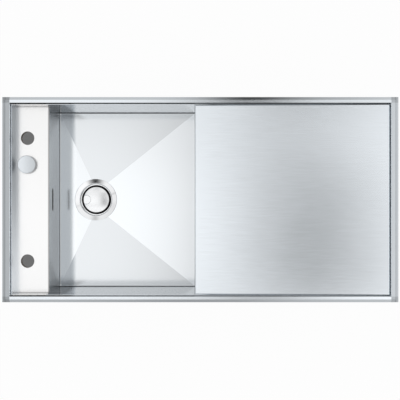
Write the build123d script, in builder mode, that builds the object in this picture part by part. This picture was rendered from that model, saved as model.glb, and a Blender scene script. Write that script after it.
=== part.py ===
from build123d import *
import os
from math import cos, radians, sqrt

# Inset kitchen sink: a folded steel bowl, tap ledge and drainer hang in a bevelled rim.
# A knob on the tap ledge raises the strainer in the bowl's waste.
# Millimetres. The origin is the middle of the rim on the worktop plane, +X points to the drainer,
# +Y to the back and +Z up.

# Rim bars
rim_length = 1000.0
rim_depth = 518.0
rim_height = 6.0
side_bar_width = 19.0
long_bar_width = 15.0
bevel_width = 7.5
rim_edge = 1.5
leg_depth = 17.0
leg_thick = 4.0
toe_thick = 1.2
shadow_gap = 1.8
gasket_inset = 4.0
gasket_width = 5.0
gasket_thick = 2.0

# Sheet steel
sheet = 1.2
bend_radius = 3.0
wall_top_drop = 6.0

# Tap ledge
ledge_width = 87.0
ledge_drop = 46.0
ledge_edge = 1.0
tap_hole_radius = 17.5
tap_hole_spread = 159.0
control_inset = 31.0
board_thick = 15.0
board_margin = 4.0

# Bowl
bowl_length = 377.0
floor_drop = 194.0
floor_fall = 2.5
floor_lip = 5.0
floor_corner = 3.0
valley_inset = 103.5
valley_half = 23.0
slot_length = 55.0
slot_height = 10.0
slot_drop = 93.0

# Drainer
drainer_set = 6.0
drainer_rise = 17.0
skirt_depth = 48.0
drainer_lip = 12.0
stiffener_spread = 120.0
stiffener_crown = 40.0
stiffener_height = 12.0
stiffener_foot = 15.0
stiffener_inset = 45.0
pad_thick = 2.0
drainer_pad_length = 160.0
drainer_pad_width = 120.0
drainer_pad_pitch = 95.0
wall_pad_length = 220.0
wall_pad_height = 100.0
floor_pad_length = 130.0
pad_corner = 8.0

# Worktop clips
worktop_thick = 30.0
clip_width = 24.0
clip_thick = 2.0
clip_reach = 16.0
clip_height = 26.0
clip_screw_out = 10.0
clip_screw_radius = 2.5
clip_screw_head = 5.0
clip_head_height = 3.0
clip_tail = 6.0
clip_drop = 16.0
clip_pad_radius = 6.0
clip_pad_thick = 3.0
long_clip_near = 130.0
long_clip_far = 400.0
end_clip_spread = 130.0
screw_clearance = 0.2
tag_width = 16.0
tag_height = 22.0
tag_hole_radius = 2.5
tag_place = 265.0

# Waste flange and its seals
waste_inset = 100.0
land_drop = 4.0
recess_radius = 58.5
flange_radius = 57.5
flange_thick = 1.2
flange_dish = 2.4
flange_roll = 3.0
flange_seal_thick = 2.8
flange_seal_width = 5.0
throat_radius = 43.5
throat_length = 34.0
throat_clearance = 0.8
seat_drop = 14.0
seat_radius = 38.5
lower_seal_thick = 2.5
lower_seal_radius = 56.0
nut_radius = 58.0
nut_height = 10.0
nut_notches = 8
nut_notch_radius = 4.0
thread_clearance = 0.2

# Waste body
body_gap = 1.3
body_wall = 3.0
body_seal_thick = 2.0
cup_radius = 41.0
cup_depth = 35.0
outlet_radius = 23.9
outlet_bore = 20.5
outlet_length = 23.0
bush_radius = 6.0
bush_height = 9.0
rib_thick = 2.5
rib_height = 6.0
rib_count = 3
rib_angle = 60.0

# Strainer
basket_radius = 36.0
shelf_radius = 37.8
basket_wall = 1.0
basket_depth = 23.0
basket_rim = 1.2
boss_radius = 8.0
boss_height = 3.0
basket_hole_radius = 2.4
inner_holes = 8
inner_hole_circle = 16.0
outer_holes = 14
outer_hole_circle = 28.0
strainer_seal_radius = 41.0
strainer_seal_thick = 3.0
strainer_seal_clearance = 0.1
strainer_seal_round = 0.8
cap_radius = 36.5
cap_edge = 2.0
cap_dome = 2.9
scoop_radius = 12.1
scoop_inset = 9.0
scoop_floor = 0.2
scoop_round = 0.5
post_radius = 4.0
cap_screw_radius = 2.0
cap_screw_head = 4.0
cap_head_height = 2.4
cap_screw_grip = 8.0
rest_gap = 0.3

# Lifter pin and rocker lever
pin_radius = 3.0
pin_head_radius = 6.5
pin_head_height = 3.0
running_clearance = 0.05
knob_turn = 90.0
lever_swing = 10.8
lever_arm = 52.0
lever_thick = 4.0
lever_width = 8.0
lever_drop = 14.0
lever_tip = 5.0
lever_hub = 5.0
cable_arm = 40.0
pivot_radius = 2.0
lever_side_gap = 1.5
lever_box_wall = 2.5
lever_box_above = 8.0
lever_box_below = 12.0
lever_box_tail = 10.0
cable_end = 4.0
cable_hole_radius = 1.2
cover_thick = 2.5
cover_lip = 3.0
cover_clearance = 0.15
gland_radius = 5.0
gland_bore = 1.5
gland_length = 10.0
gland_hex = 7.0
gland_flange = 3.0
gland_neck = 3.0
gland_clearance = 0.1
gland_pad = 1.5
gland_margin = 0.5

# Control knob
knob_offset = 90.5
knob_radius = 23.0
knob_height = 14.0
knob_edge = 1.0
knob_gap = 0.5
knob_cavity_radius = 17.0
knob_roof = 5.0
knob_hub_radius = 13.0
spindle_cover = 2.0
spindle_radius = 5.0
spindle_end_radius = 3.0
bush_flange_radius = 14.0
bush_flange_thick = 2.0
bush_shank_radius = 9.0
bush_hole_clearance = 0.3
bush_tail = 4.0
washer_radius = 17.0
washer_thick = 1.5
knob_nut_flats = 27.0
knob_nut_height = 7.0
box_radius = 24.0
box_wall = 2.5
drum_gap = 1.0
drum_flange_radius = 9.0
drum_height = 9.0
drum_flange_thick = 1.5
circlip_radius = 8.0
circlip_thick = 1.0
circlip_groove = 0.8
circlip_land = 1.5
grub_radius = 2.0
grub_length = 8.0
grub_drop = 9.0

# Overflow
overflow_depth = 34.0
overflow_length = 76.0
overflow_height = 34.0
overflow_wall = 2.5
overflow_seal_thick = 1.0
pipe_radius = 11.0
pipe_wall = 2.5
pipe_bend = 28.0
spigot_length = 14.0
spigot_drop = 17.0
pipe_nut_radius = 15.5
pipe_nut_length = 16.0
pipe_nut_sides = 8
pipe_nut_clearance = 0.1

# Places worked out from the sizes above
half_length = rim_length / 2
half_depth = rim_depth / 2
inner_x = half_length - side_bar_width
inner_y = half_depth - long_bar_width
wall_x = inner_x - shadow_gap
wall_y = inner_y - shadow_gap
well_y = wall_y - sheet
trough_x = -wall_x + sheet
bowl_left = trough_x + ledge_width
bowl_right = bowl_left + bowl_length
bowl_middle = (bowl_left + bowl_right) / 2
wall_top = -wall_top_drop
drainer_high = rim_height - drainer_set
drainer_low = drainer_high - drainer_rise
ledge_top = -ledge_drop
ledge_under = ledge_top - sheet
floor_edge = -floor_drop
valley_x = bowl_left + valley_inset
valley_z = floor_edge - floor_fall
weld_z = floor_edge + floor_lip
control_x = trough_x + control_inset
waste_x = bowl_left + waste_inset
land_z = valley_z - land_drop
flange_top = land_z + flange_seal_thick + flange_thick
seat_z = flange_top - seat_drop
throat_foot = flange_top - throat_length
throat_outer = throat_radius + flange_thick

parts_folder = "parts"
os.makedirs(parts_folder, exist_ok=True)


def keep(builder, label):
    """Label a finished piece and write its file."""
    builder.part.label = label
    export_step(builder.part, f"{parts_folder}/{label}.step")


def box_between(low, high, mode=Mode.ADD):
    """Block between two opposite corners."""
    size = [b - a for a, b in zip(low, high)]
    middle = [(a + b) / 2 for a, b in zip(low, high)]
    with Locations(tuple(middle)):
        Box(*size, mode=mode)


def tube(outer, inner, low, high, x, y=0.0):
    """Upright ring between two heights."""
    upward = (Align.CENTER, Align.CENTER, Align.MIN)
    with Locations((x, y, low)):
        Cylinder(outer, high - low, align=upward)
        Cylinder(inner, high - low, align=upward, mode=Mode.SUBTRACT)


# Rim gasket: one soft ring set into the underside of all four bars
with BuildPart() as rim_gasket:
    with BuildSketch(Plane.XY):
        Rectangle(rim_length - 2 * gasket_inset, rim_depth - 2 * gasket_inset)
        gasket_span = gasket_inset + gasket_width
        Rectangle(rim_length - 2 * gasket_span, rim_depth - 2 * gasket_span, mode=Mode.SUBTRACT)
    extrude(amount=gasket_thick)
keep(rim_gasket, "rim_gasket")


def side_bar(side):
    """Left or right rim bar: it runs the full depth, with both ends bevelled like its long edge."""
    bevel_rise = rim_height - rim_edge
    with BuildPart() as bar:
        with BuildSketch(Plane.XZ.offset(-half_depth)):
            with BuildLine():
                Polyline(
                    (side * inner_x, 0),
                    (side * inner_x, rim_height),
                    (side * (half_length - bevel_width), rim_height),
                    (side * half_length, rim_edge),
                    (side * half_length, 0),
                    close=True,
                )
            make_face()
        extrude(amount=rim_depth)
        for end in (1, -1):
            bevel = Plane(
                origin=(side * inner_x, end * (half_depth - bevel_width), rim_height),
                z_dir=(0, end * bevel_rise, bevel_width),
            )
            split(bisect_by=bevel, keep=Keep.BOTTOM)
        leg_end = inner_y + leg_thick
        leg_x = sorted((side * inner_x, side * (inner_x + leg_thick)))
        box_between((leg_x[0], -leg_end, -leg_depth - toe_thick), (leg_x[1], leg_end, 0))
        toe_x = sorted((side * wall_x, side * inner_x))
        box_between((toe_x[0], -wall_y, -leg_depth - toe_thick), (toe_x[1], wall_y, -leg_depth))
        add(rim_gasket.part, mode=Mode.SUBTRACT)
    return bar


def long_bar(side):
    """Back or front rim bar: it fits between the side bars."""
    with BuildPart() as bar:
        with BuildSketch(Plane.YZ.offset(-inner_x)):
            with BuildLine():
                Polyline(
                    (side * inner_y, 0),
                    (side * inner_y, rim_height),
                    (side * (half_depth - bevel_width), rim_height),
                    (side * half_depth, rim_edge),
                    (side * half_depth, 0),
                    close=True,
                )
            make_face()
        extrude(amount=2 * inner_x)
        leg_y = sorted((side * inner_y, side * (inner_y + leg_thick)))
        box_between((-inner_x, leg_y[0], -leg_depth - toe_thick), (inner_x, leg_y[1], 0))
        toe_y = sorted((side * wall_y, side * inner_y))
        box_between((-inner_x, toe_y[0], -leg_depth - toe_thick), (inner_x, toe_y[1], -leg_depth))
        add(rim_gasket.part, mode=Mode.SUBTRACT)
    return bar


keep(side_bar(-1), "rim_left_bar")
keep(side_bar(1), "rim_right_bar")
keep(long_bar(1), "rim_back_bar")
keep(long_bar(-1), "rim_front_bar")

# Tap ledge: a flat plate, sunk below the rim, its edge over the bowl eased
with BuildPart() as tap_ledge:
    box_between((trough_x, -well_y, ledge_under), (bowl_left, well_y, ledge_top))
    brink = tap_ledge.edges().filter_by(Axis.Y).group_by(Axis.Z)[-1].sort_by(Axis.X)[-1]
    fillet(brink, ledge_edge)
    with BuildSketch(Plane.XY.offset(ledge_top)):
        with Locations((control_x, tap_hole_spread), (control_x, -tap_hole_spread)):
            Circle(tap_hole_radius)
        with Locations((control_x, knob_offset)):
            Circle(bush_shank_radius + bush_hole_clearance)
    extrude(amount=-sheet, mode=Mode.SUBTRACT)
keep(tap_ledge, "tap_ledge")

# Wall beside the ledge, up to the rim
with BuildPart() as ledge_left_wall:
    box_between((-wall_x, -wall_y, ledge_under), (trough_x, wall_y, wall_top))
keep(ledge_left_wall, "ledge_left_wall")


def ledge_end(side):
    """Back or front wall of the recess over the tap ledge."""
    with BuildPart() as plate:
        plate_y = sorted((side * well_y, side * wall_y))
        box_between((trough_x, plate_y[0], ledge_under), (bowl_left, plate_y[1], wall_top))
    return plate


keep(ledge_end(1), "ledge_back_end")
keep(ledge_end(-1), "ledge_front_end")

# Backing board bonded under the tap ledge, bored with it
board_under = ledge_under - board_thick
board_left = -wall_x + board_margin
board_right = bowl_left - sheet - board_margin
with BuildPart() as tap_backing_board:
    board_end = well_y - board_margin
    box_between((board_left, -board_end, board_under), (board_right, board_end, ledge_under))
    with BuildSketch(Plane.XY.offset(ledge_under)):
        with Locations((control_x, tap_hole_spread), (control_x, -tap_hole_spread)):
            Circle(tap_hole_radius)
        with Locations((control_x, knob_offset)):
            Circle(bush_shank_radius + bush_hole_clearance)
    extrude(amount=-board_thick, mode=Mode.SUBTRACT)
keep(tap_backing_board, "tap_backing_board")

# Bowl walls: four plates welded edge to edge
with BuildPart() as bowl_left_wall:
    box_between((bowl_left - sheet, -wall_y, weld_z), (bowl_left, wall_y, ledge_under))
    with BuildSketch(Plane.YZ.offset(bowl_left)):
        with Locations((0, -slot_drop)):
            SlotOverall(slot_length, slot_height)
    extrude(amount=-sheet, mode=Mode.SUBTRACT)
keep(bowl_left_wall, "bowl_left_wall")

drainer_lip_foot = drainer_low - drainer_lip
with BuildPart() as bowl_right_wall:
    box_between((bowl_right, -wall_y, weld_z), (bowl_right + sheet, wall_y, drainer_lip_foot))
keep(bowl_right_wall, "bowl_right_wall")

with BuildPart() as bowl_back_wall:
    box_between((bowl_left, well_y, weld_z), (bowl_right, wall_y, wall_top))
keep(bowl_back_wall, "bowl_back_wall")

with BuildPart() as bowl_front_wall:
    box_between((bowl_left, -wall_y, weld_z), (bowl_right, -well_y, wall_top))
keep(bowl_front_wall, "bowl_front_wall")

# Bowl floor: four facets fall from the walls to a short valley at the waste
left_run = valley_inset
right_run = bowl_right - valley_x
end_run = well_y - valley_half
facets = [
    Plane(origin=(bowl_left, 0, floor_edge), z_dir=(floor_fall, 0, left_run)),
    Plane(origin=(bowl_right, 0, floor_edge), z_dir=(-floor_fall, 0, right_run)),
    Plane(origin=(valley_x, well_y, floor_edge), z_dir=(0, -floor_fall, end_run)),
    Plane(origin=(valley_x, -well_y, floor_edge), z_dir=(0, floor_fall, end_run)),
]
block_foot = valley_z - floor_fall

with BuildPart() as bowl_space:
    box_between((bowl_left, -well_y, block_foot), (bowl_right, well_y, wall_top))
    for facet in facets:
        split(bisect_by=facet, keep=Keep.TOP)
    foot_edges = bowl_space.edges().filter_by_position(Axis.Z, floor_edge - sheet / 2, floor_edge + sheet / 2)
    fillet(foot_edges, floor_corner)

with BuildPart() as waste_recess:
    with Locations((waste_x, 0, land_z)):
        Cylinder(recess_radius, floor_drop, align=(Align.CENTER, Align.CENTER, Align.MIN))

hole_radius = throat_outer + throat_clearance
with BuildPart() as bowl_floor:
    box_between(
        (bowl_left - sheet, -wall_y, block_foot),
        (bowl_right + sheet, wall_y, weld_z),
    )
    for facet in facets:
        split(bisect_by=facet.offset(-sheet), keep=Keep.TOP)
    recess_outer = recess_radius + sheet
    with BuildSketch(Plane.XY.offset(land_z - sheet)):
        with Locations((waste_x, 0)):
            Circle(recess_outer)
    extrude(amount=sheet + land_drop + floor_fall)
    add(bowl_space.part, mode=Mode.SUBTRACT)
    add(waste_recess.part, mode=Mode.SUBTRACT)
    with BuildSketch(Plane.XY.offset(land_z)):
        with Locations((waste_x, 0)):
            Circle(hole_radius)
    extrude(amount=-sheet, mode=Mode.SUBTRACT)
keep(bowl_floor, "bowl_floor")


# Drainer: a shallow pan turned over, bent down on all four sides
def drainer_block(inset, radius):
    """Solid under the drainer's top, set in from its faces, with its top edges rounded."""
    with BuildPart() as block:
        with BuildSketch(Plane.XZ):
            with BuildLine():
                Polyline(
                    (bowl_right + inset, drainer_low - inset),
                    (wall_x - inset, drainer_high - inset),
                    (wall_x - inset, -skirt_depth),
                    (bowl_right + inset, -skirt_depth),
                    close=True,
                )
            make_face()
        extrude(amount=wall_y - inset, both=True)
        fillet(block.faces().sort_by(Axis.Z)[-1].edges(), radius)
    return block.part


with BuildPart() as drainer_panel:
    add(drainer_block(0, bend_radius))
    add(drainer_block(sheet, bend_radius - sheet), mode=Mode.SUBTRACT)
    box_between(
        (bowl_right, -wall_y, -skirt_depth),
        (bowl_right + sheet, wall_y, drainer_lip_foot),
        mode=Mode.SUBTRACT,
    )
keep(drainer_panel, "drainer_panel")

drainer_slope = drainer_rise / (wall_x - bowl_right - 2 * sheet)
drainer_middle = (bowl_right + wall_x) / 2


def drainer_under(x):
    """Height of the drainer's underside at a place along it."""
    return drainer_low - sheet + drainer_slope * (x - bowl_right - sheet)


with BuildPart() as drainer_stiffeners:
    start = bowl_right + stiffener_inset
    run = wall_x - stiffener_inset - start
    crown = stiffener_crown / 2
    for side in (1, -1):
        hat_plane = Plane(
            origin=(start, side * stiffener_spread, drainer_under(start)),
            x_dir=(0, 1, 0),
            z_dir=(1, 0, drainer_slope),
        )
        with BuildSketch(hat_plane):
            with BuildLine():
                Polyline(
                    (-crown - stiffener_foot, 0),
                    (-crown + sheet, 0),
                    (-crown + sheet, sheet - stiffener_height),
                    (crown - sheet, sheet - stiffener_height),
                    (crown - sheet, 0),
                    (crown + stiffener_foot, 0),
                    (crown + stiffener_foot, -sheet),
                    (crown, -sheet),
                    (crown, -stiffener_height),
                    (-crown, -stiffener_height),
                    (-crown, -sheet),
                    (-crown - stiffener_foot, -sheet),
                    close=True,
                )
            make_face()
        extrude(amount=run)
keep(drainer_stiffeners, "drainer_stiffeners")

with BuildPart() as drainer_damping_pads:
    for side in (1, -1):
        pad_x = drainer_middle + side * drainer_pad_pitch
        pad_plane = Plane(
            origin=(pad_x, 0, drainer_under(pad_x)),
            x_dir=(1, 0, drainer_slope),
            z_dir=(-drainer_slope, 0, 1),
        )
        with BuildSketch(pad_plane):
            RectangleRounded(drainer_pad_length, drainer_pad_width, pad_corner)
        extrude(amount=-pad_thick)
keep(drainer_damping_pads, "drainer_damping_pads")

with BuildPart() as bowl_damping_pads:
    for side in (1, -1):
        wall_plane = Plane(
            origin=(bowl_middle, side * wall_y, (weld_z + ledge_under) / 2),
            x_dir=(1, 0, 0),
            z_dir=(0, side, 0),
        )
        with BuildSketch(wall_plane):
            RectangleRounded(wall_pad_length, wall_pad_height, pad_corner)
        extrude(amount=pad_thick)
    facet_middle = (waste_x + recess_outer + bowl_right) / 2
    facet_height = floor_edge - floor_fall * (bowl_right - facet_middle) / right_run
    facet_plane = Plane(
        origin=(facet_middle, 0, facet_height),
        x_dir=(right_run, 0, floor_fall),
        z_dir=(-floor_fall, 0, right_run),
    )
    with BuildSketch(facet_plane.offset(-sheet)):
        RectangleRounded(floor_pad_length, wall_pad_height, pad_corner)
    extrude(amount=-pad_thick)
keep(bowl_damping_pads, "bowl_damping_pads")

# Worktop clips: brackets on the walls, screws turned up through them, pads under the worktop
clip_base = -worktop_thick - clip_drop
pad_under = -worktop_thick - clip_pad_thick
clip_places = []
for side in (1, -1):
    for clip_x in (-long_clip_far, -long_clip_near, long_clip_near, long_clip_far):
        clip_places.append(Location((clip_x, side * wall_y, 0), (0, 0, side * 90)))
    for clip_y in (-end_clip_spread, end_clip_spread):
        clip_places.append(Location((side * wall_x, clip_y, 0), (0, 0, 90 - side * 90)))

with BuildPart() as clip_brackets:
    for place in clip_places:
        with Locations(place * Pos(0, 0, clip_base)):
            Box(clip_thick, clip_width, clip_height, align=(Align.MIN, Align.CENTER, Align.MIN))
            Box(clip_reach, clip_width, clip_thick, align=(Align.MIN, Align.CENTER, Align.MIN))
        with Locations(place * Pos(clip_screw_out, 0, clip_base)):
            Cylinder(
                clip_screw_radius + screw_clearance,
                clip_thick,
                align=(Align.CENTER, Align.CENTER, Align.MIN),
                mode=Mode.SUBTRACT,
            )
keep(clip_brackets, "clip_brackets")

with BuildPart() as clip_screws:
    head_top = clip_base - clip_tail
    for place in clip_places:
        with Locations(place * Pos(clip_screw_out, 0, head_top)):
            Cylinder(clip_screw_radius, pad_under - head_top, align=(Align.CENTER, Align.CENTER, Align.MIN))
            Cylinder(clip_screw_head, clip_head_height, align=(Align.CENTER, Align.CENTER, Align.MAX))
keep(clip_screws, "clip_screws")

with BuildPart() as clip_pads:
    for place in clip_places:
        with Locations(place * Pos(clip_screw_out, 0, pad_under)):
            Cylinder(clip_pad_radius, clip_pad_thick, align=(Align.CENTER, Align.CENTER, Align.MIN))
keep(clip_pads, "clip_pads")

# Earth tag on the drainer's back skirt
with BuildPart() as earth_tag:
    with BuildSketch(Plane(origin=(tag_place, wall_y, -skirt_depth), x_dir=(1, 0, 0), z_dir=(0, -1, 0))):
        Rectangle(tag_width, tag_height)
        with Locations((0, tag_width / 2 - tag_height / 2)):
            Circle(tag_hole_radius, mode=Mode.SUBTRACT)
    extrude(amount=-sheet)
keep(earth_tag, "earth_tag")

# Waste: every round piece turns about one upright axis
waste_axis = Axis((waste_x, 0, 0), (0, 0, 1))
waste_plane = Plane(origin=(waste_x, 0, 0), x_dir=(1, 0, 0), z_dir=(0, -1, 0))
eighth = cos(radians(45))
roll_x = throat_radius + flange_roll
roll_z = flange_top - flange_dish - flange_roll
dish_slope = flange_dish / (flange_radius - roll_x)

# Waste flange: a dished ring rolled into a threaded throat, with the strainer's seat inside
with BuildPart() as waste_flange:
    under_roll = flange_roll - flange_thick
    with BuildSketch(waste_plane):
        with BuildLine():
            Line((flange_radius, flange_top), (roll_x, flange_top - flange_dish))
            ThreePointArc(
                (roll_x, roll_z + flange_roll),
                (roll_x - flange_roll * eighth, roll_z + flange_roll * eighth),
                (throat_radius, roll_z),
            )
            Polyline(
                (throat_radius, roll_z),
                (throat_radius, seat_z),
                (seat_radius, seat_z),
                (seat_radius, seat_z - flange_thick),
                (throat_radius, seat_z - flange_thick),
                (throat_radius, throat_foot),
                (throat_outer, throat_foot),
                (throat_outer, roll_z),
            )
            ThreePointArc(
                (throat_outer, roll_z),
                (roll_x - under_roll * eighth, roll_z + under_roll * eighth),
                (roll_x, roll_z + under_roll),
            )
            Polyline(
                (roll_x, roll_z + under_roll),
                (flange_radius, flange_top - flange_thick),
                (flange_radius, flange_top),
            )
        make_face()
    revolve(axis=waste_axis)
keep(waste_flange, "waste_flange")

# Flange seal, wedge shaped to fill the space under the flange's dished edge
with BuildPart() as flange_seal:
    seal_inner = flange_radius - flange_seal_width
    with BuildSketch(waste_plane):
        with BuildLine():
            Polyline(
                (seal_inner, land_z),
                (flange_radius, land_z),
                (flange_radius, flange_top - flange_thick),
                (seal_inner, flange_top - flange_thick - dish_slope * flange_seal_width),
                close=True,
            )
        make_face()
    revolve(axis=waste_axis)
keep(flange_seal, "flange_seal")

thread_radius = throat_outer + thread_clearance
land_under = land_z - sheet
nut_top = land_under - lower_seal_thick
nut_foot = nut_top - nut_height

with BuildPart() as lower_seal:
    tube(lower_seal_radius, thread_radius, nut_top, land_under, waste_x)
keep(lower_seal, "lower_seal")

# Lock nut, notched round its edge for a spanner
with BuildPart() as lock_nut:
    tube(nut_radius, thread_radius, nut_foot, nut_top, waste_x)
    with BuildSketch(Plane.XY.offset(nut_foot)):
        with Locations((waste_x, 0)):
            with PolarLocations(nut_radius, nut_notches):
                Circle(nut_notch_radius)
    extrude(amount=nut_height, mode=Mode.SUBTRACT)
keep(lock_nut, "lock_nut")

# Heights down the waste, from the strainer's seat to the outlet
seal_under = seat_z + rest_gap
basket_top = seal_under + strainer_seal_thick
basket_foot = basket_top - basket_depth
boss_foot = basket_foot - boss_height
head_foot = boss_foot - rest_gap - pin_head_height
bush_top = head_foot - rest_gap
bush_foot = bush_top - bush_height
lever_z = bush_foot - lever_drop
pin_foot = lever_z + lever_thick / 2 + rest_gap
body_top = nut_foot - body_gap
shoulder_z = throat_foot - body_seal_thick
cup_floor = shoulder_z - cup_depth
outlet_top = cup_floor - body_wall
outlet_foot = outlet_top - outlet_length
cup_outer = cup_radius + body_wall
spigot_z = shoulder_z - spigot_drop
spigot_end = waste_x - cup_outer - spigot_length
pivot_x = waste_x + lever_arm
cable_x = pivot_x + cable_arm
box_end = cable_x + lever_box_tail
box_inner_y = lever_width / 2 + lever_side_gap
box_outer_y = box_inner_y + lever_box_wall
box_low = lever_z - lever_box_below
box_high = lever_z + lever_box_above

with BuildPart() as body_seal:
    tube(throat_outer, cup_radius, shoulder_z, throat_foot, waste_x)
keep(body_seal, "body_seal")

# Waste body: a moulded cup with the overflow inlet, the lever box, the pin's bush and the outlet
with BuildPart() as waste_body:
    with BuildSketch(waste_plane):
        with BuildLine():
            Polyline(
                (thread_radius, body_top),
                (thread_radius + body_wall, body_top),
                (thread_radius + body_wall, shoulder_z - body_wall),
                (cup_outer, shoulder_z - body_wall),
                (cup_outer, outlet_top),
                (outlet_radius, outlet_top),
                (outlet_radius, outlet_foot),
                (outlet_bore, outlet_foot),
                (outlet_bore, cup_floor),
                (cup_radius, cup_floor),
                (cup_radius, shoulder_z),
                (thread_radius, shoulder_z),
                close=True,
            )
        make_face()
    revolve(axis=waste_axis)
    with BuildSketch(Plane.YZ.offset(spigot_end)):
        with Locations((0, spigot_z)):
            Circle(pipe_radius)
    extrude(amount=spigot_length + body_wall / 2)
    box_between(
        (waste_x + cup_outer - body_wall / 2, -box_outer_y, box_low - lever_box_wall),
        (box_end, box_outer_y, box_high + lever_box_wall),
    )
    with BuildSketch(Plane.YZ.offset(spigot_end)):
        with Locations((0, spigot_z)):
            Circle(pipe_radius - pipe_wall)
    extrude(amount=spigot_length + 2 * body_wall, mode=Mode.SUBTRACT)
    box_between(
        (waste_x + cup_outer, -box_inner_y, box_low),
        (box_end, box_inner_y, box_high),
        mode=Mode.SUBTRACT,
    )
    box_between(
        (waste_x + cup_radius - body_wall, -box_inner_y, lever_z - lever_thick),
        (waste_x + cup_outer, box_inner_y, box_high),
        mode=Mode.SUBTRACT,
    )
    with BuildSketch(Plane.XZ):
        with Locations((pivot_x, lever_z)):
            Circle(pivot_radius + running_clearance)
    extrude(amount=box_outer_y, both=True, mode=Mode.SUBTRACT)
    with BuildSketch(Plane.XY.offset(box_low)):
        with Locations((cable_x, 0)):
            Circle(gland_neck + gland_clearance)
    extrude(amount=-lever_box_wall, mode=Mode.SUBTRACT)
    with BuildSketch(Plane.XY.offset(bush_top)):
        with Locations((waste_x, 0)):
            with PolarLocations(cup_radius / 2, rib_count, start_angle=rib_angle):
                Rectangle(cup_radius + body_wall, rib_thick)
    extrude(amount=-rib_height)
    with BuildSketch(Plane.XY.offset(bush_top)):
        with Locations((waste_x, 0)):
            Circle(bush_radius)
    extrude(amount=-bush_height)
    with BuildSketch(Plane.XY.offset(bush_top)):
        with Locations((waste_x, 0)):
            Circle(pin_radius + running_clearance)
    extrude(amount=-bush_height, mode=Mode.SUBTRACT)
keep(waste_body, "waste_body")

# Strainer basket: a perforated cup with a shelf for its seal and a boss for the cap's screw
with BuildPart() as strainer_basket:
    with BuildSketch(waste_plane):
        with BuildLine():
            Polyline(
                (0, boss_foot),
                (boss_radius, boss_foot),
                (boss_radius, basket_foot),
                (basket_radius, basket_foot),
                (basket_radius, seal_under - basket_rim),
                (shelf_radius, seal_under - basket_rim),
                (shelf_radius, seal_under),
                (basket_radius, seal_under),
                (basket_radius, basket_top),
                (basket_radius - basket_wall, basket_top),
                (basket_radius - basket_wall, basket_foot + basket_wall),
                (0, basket_foot + basket_wall),
                close=True,
            )
        make_face()
    revolve(axis=waste_axis)
    with BuildSketch(Plane.XY.offset(basket_foot)):
        with Locations((waste_x, 0)):
            with PolarLocations(inner_hole_circle, inner_holes):
                Circle(basket_hole_radius)
            with PolarLocations(outer_hole_circle, outer_holes):
                Circle(basket_hole_radius)
    extrude(amount=basket_wall, mode=Mode.SUBTRACT)
    with BuildSketch(Plane.XY.offset(boss_foot)):
        with Locations((waste_x, 0)):
            Circle(cap_screw_radius + screw_clearance)
    extrude(amount=boss_height + basket_wall, mode=Mode.SUBTRACT)
    with BuildSketch(Plane.XY.offset(boss_foot)):
        with Locations((waste_x, 0)):
            Circle(cap_screw_head + screw_clearance)
    extrude(amount=cap_head_height, mode=Mode.SUBTRACT)
keep(strainer_basket, "strainer_basket")

with BuildPart() as basket_seal:
    tube(strainer_seal_radius, basket_radius + strainer_seal_clearance, seal_under, basket_top, waste_x)
    fillet(basket_seal.edges().sort_by(SortBy.LENGTH)[-2:], strainer_seal_round)
keep(basket_seal, "basket_seal")

# Strainer cap: a shallow dome with a thumb scoop at its edge and a post down to the basket's foot
post_foot = basket_foot + basket_wall
dome_foot = basket_top + cap_edge
dome_top = dome_foot + cap_dome
dome_radius = (cap_radius**2 + cap_dome**2) / (2 * cap_dome)
scoop_place = cap_radius - scoop_inset
with BuildPart() as strainer_cap:
    with BuildSketch(waste_plane):
        with BuildLine():
            Polyline(
                (0, dome_top),
                (0, post_foot),
                (post_radius, post_foot),
                (post_radius, basket_top),
                (cap_radius, basket_top),
                (cap_radius, dome_foot),
            )
            ThreePointArc(
                (cap_radius, dome_foot),
                (cap_radius / 2, dome_top - dome_radius + sqrt(dome_radius**2 - (cap_radius / 2) ** 2)),
                (0, dome_top),
            )
        make_face()
    revolve(axis=waste_axis)
    with Locations((waste_x - scoop_place, 0, dome_foot + scoop_floor)):
        Cylinder(
            scoop_radius,
            cap_dome,
            align=(Align.CENTER, Align.CENTER, Align.MIN),
            mode=Mode.SUBTRACT,
        )
    fillet(strainer_cap.edges(Select.LAST).sort_by(Axis.Z)[-1], scoop_round)
    with BuildSketch(Plane.XY.offset(post_foot)):
        with Locations((waste_x, 0)):
            Circle(cap_screw_radius + running_clearance)
    extrude(amount=cap_screw_grip + screw_clearance, mode=Mode.SUBTRACT)
keep(strainer_cap, "strainer_cap")

with BuildPart() as cap_screw:
    with BuildSketch(Plane.XY.offset(boss_foot)):
        with Locations((waste_x, 0)):
            Circle(cap_screw_head)
    extrude(amount=cap_head_height)
    with BuildSketch(Plane.XY.offset(boss_foot)):
        with Locations((waste_x, 0)):
            Circle(cap_screw_radius)
    extrude(amount=post_foot + cap_screw_grip - boss_foot)
keep(cap_screw, "cap_screw")

# Lifter pin: a flat head under the basket and a round foot on the lever
with BuildPart() as lifter_pin:
    pin_head_top = boss_foot - rest_gap
    with BuildSketch(waste_plane):
        with BuildLine():
            Polyline(
                (0, pin_foot),
                (0, pin_head_top),
                (pin_head_radius, pin_head_top),
                (pin_head_radius, head_foot),
                (pin_radius, head_foot),
                (pin_radius, pin_foot + pin_radius),
            )
            ThreePointArc(
                (pin_radius, pin_foot + pin_radius),
                (pin_radius * eighth, pin_foot + pin_radius - pin_radius * eighth),
                (0, pin_foot),
            )
        make_face()
    revolve(axis=waste_axis)
keep(lifter_pin, "lifter_pin")

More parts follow.
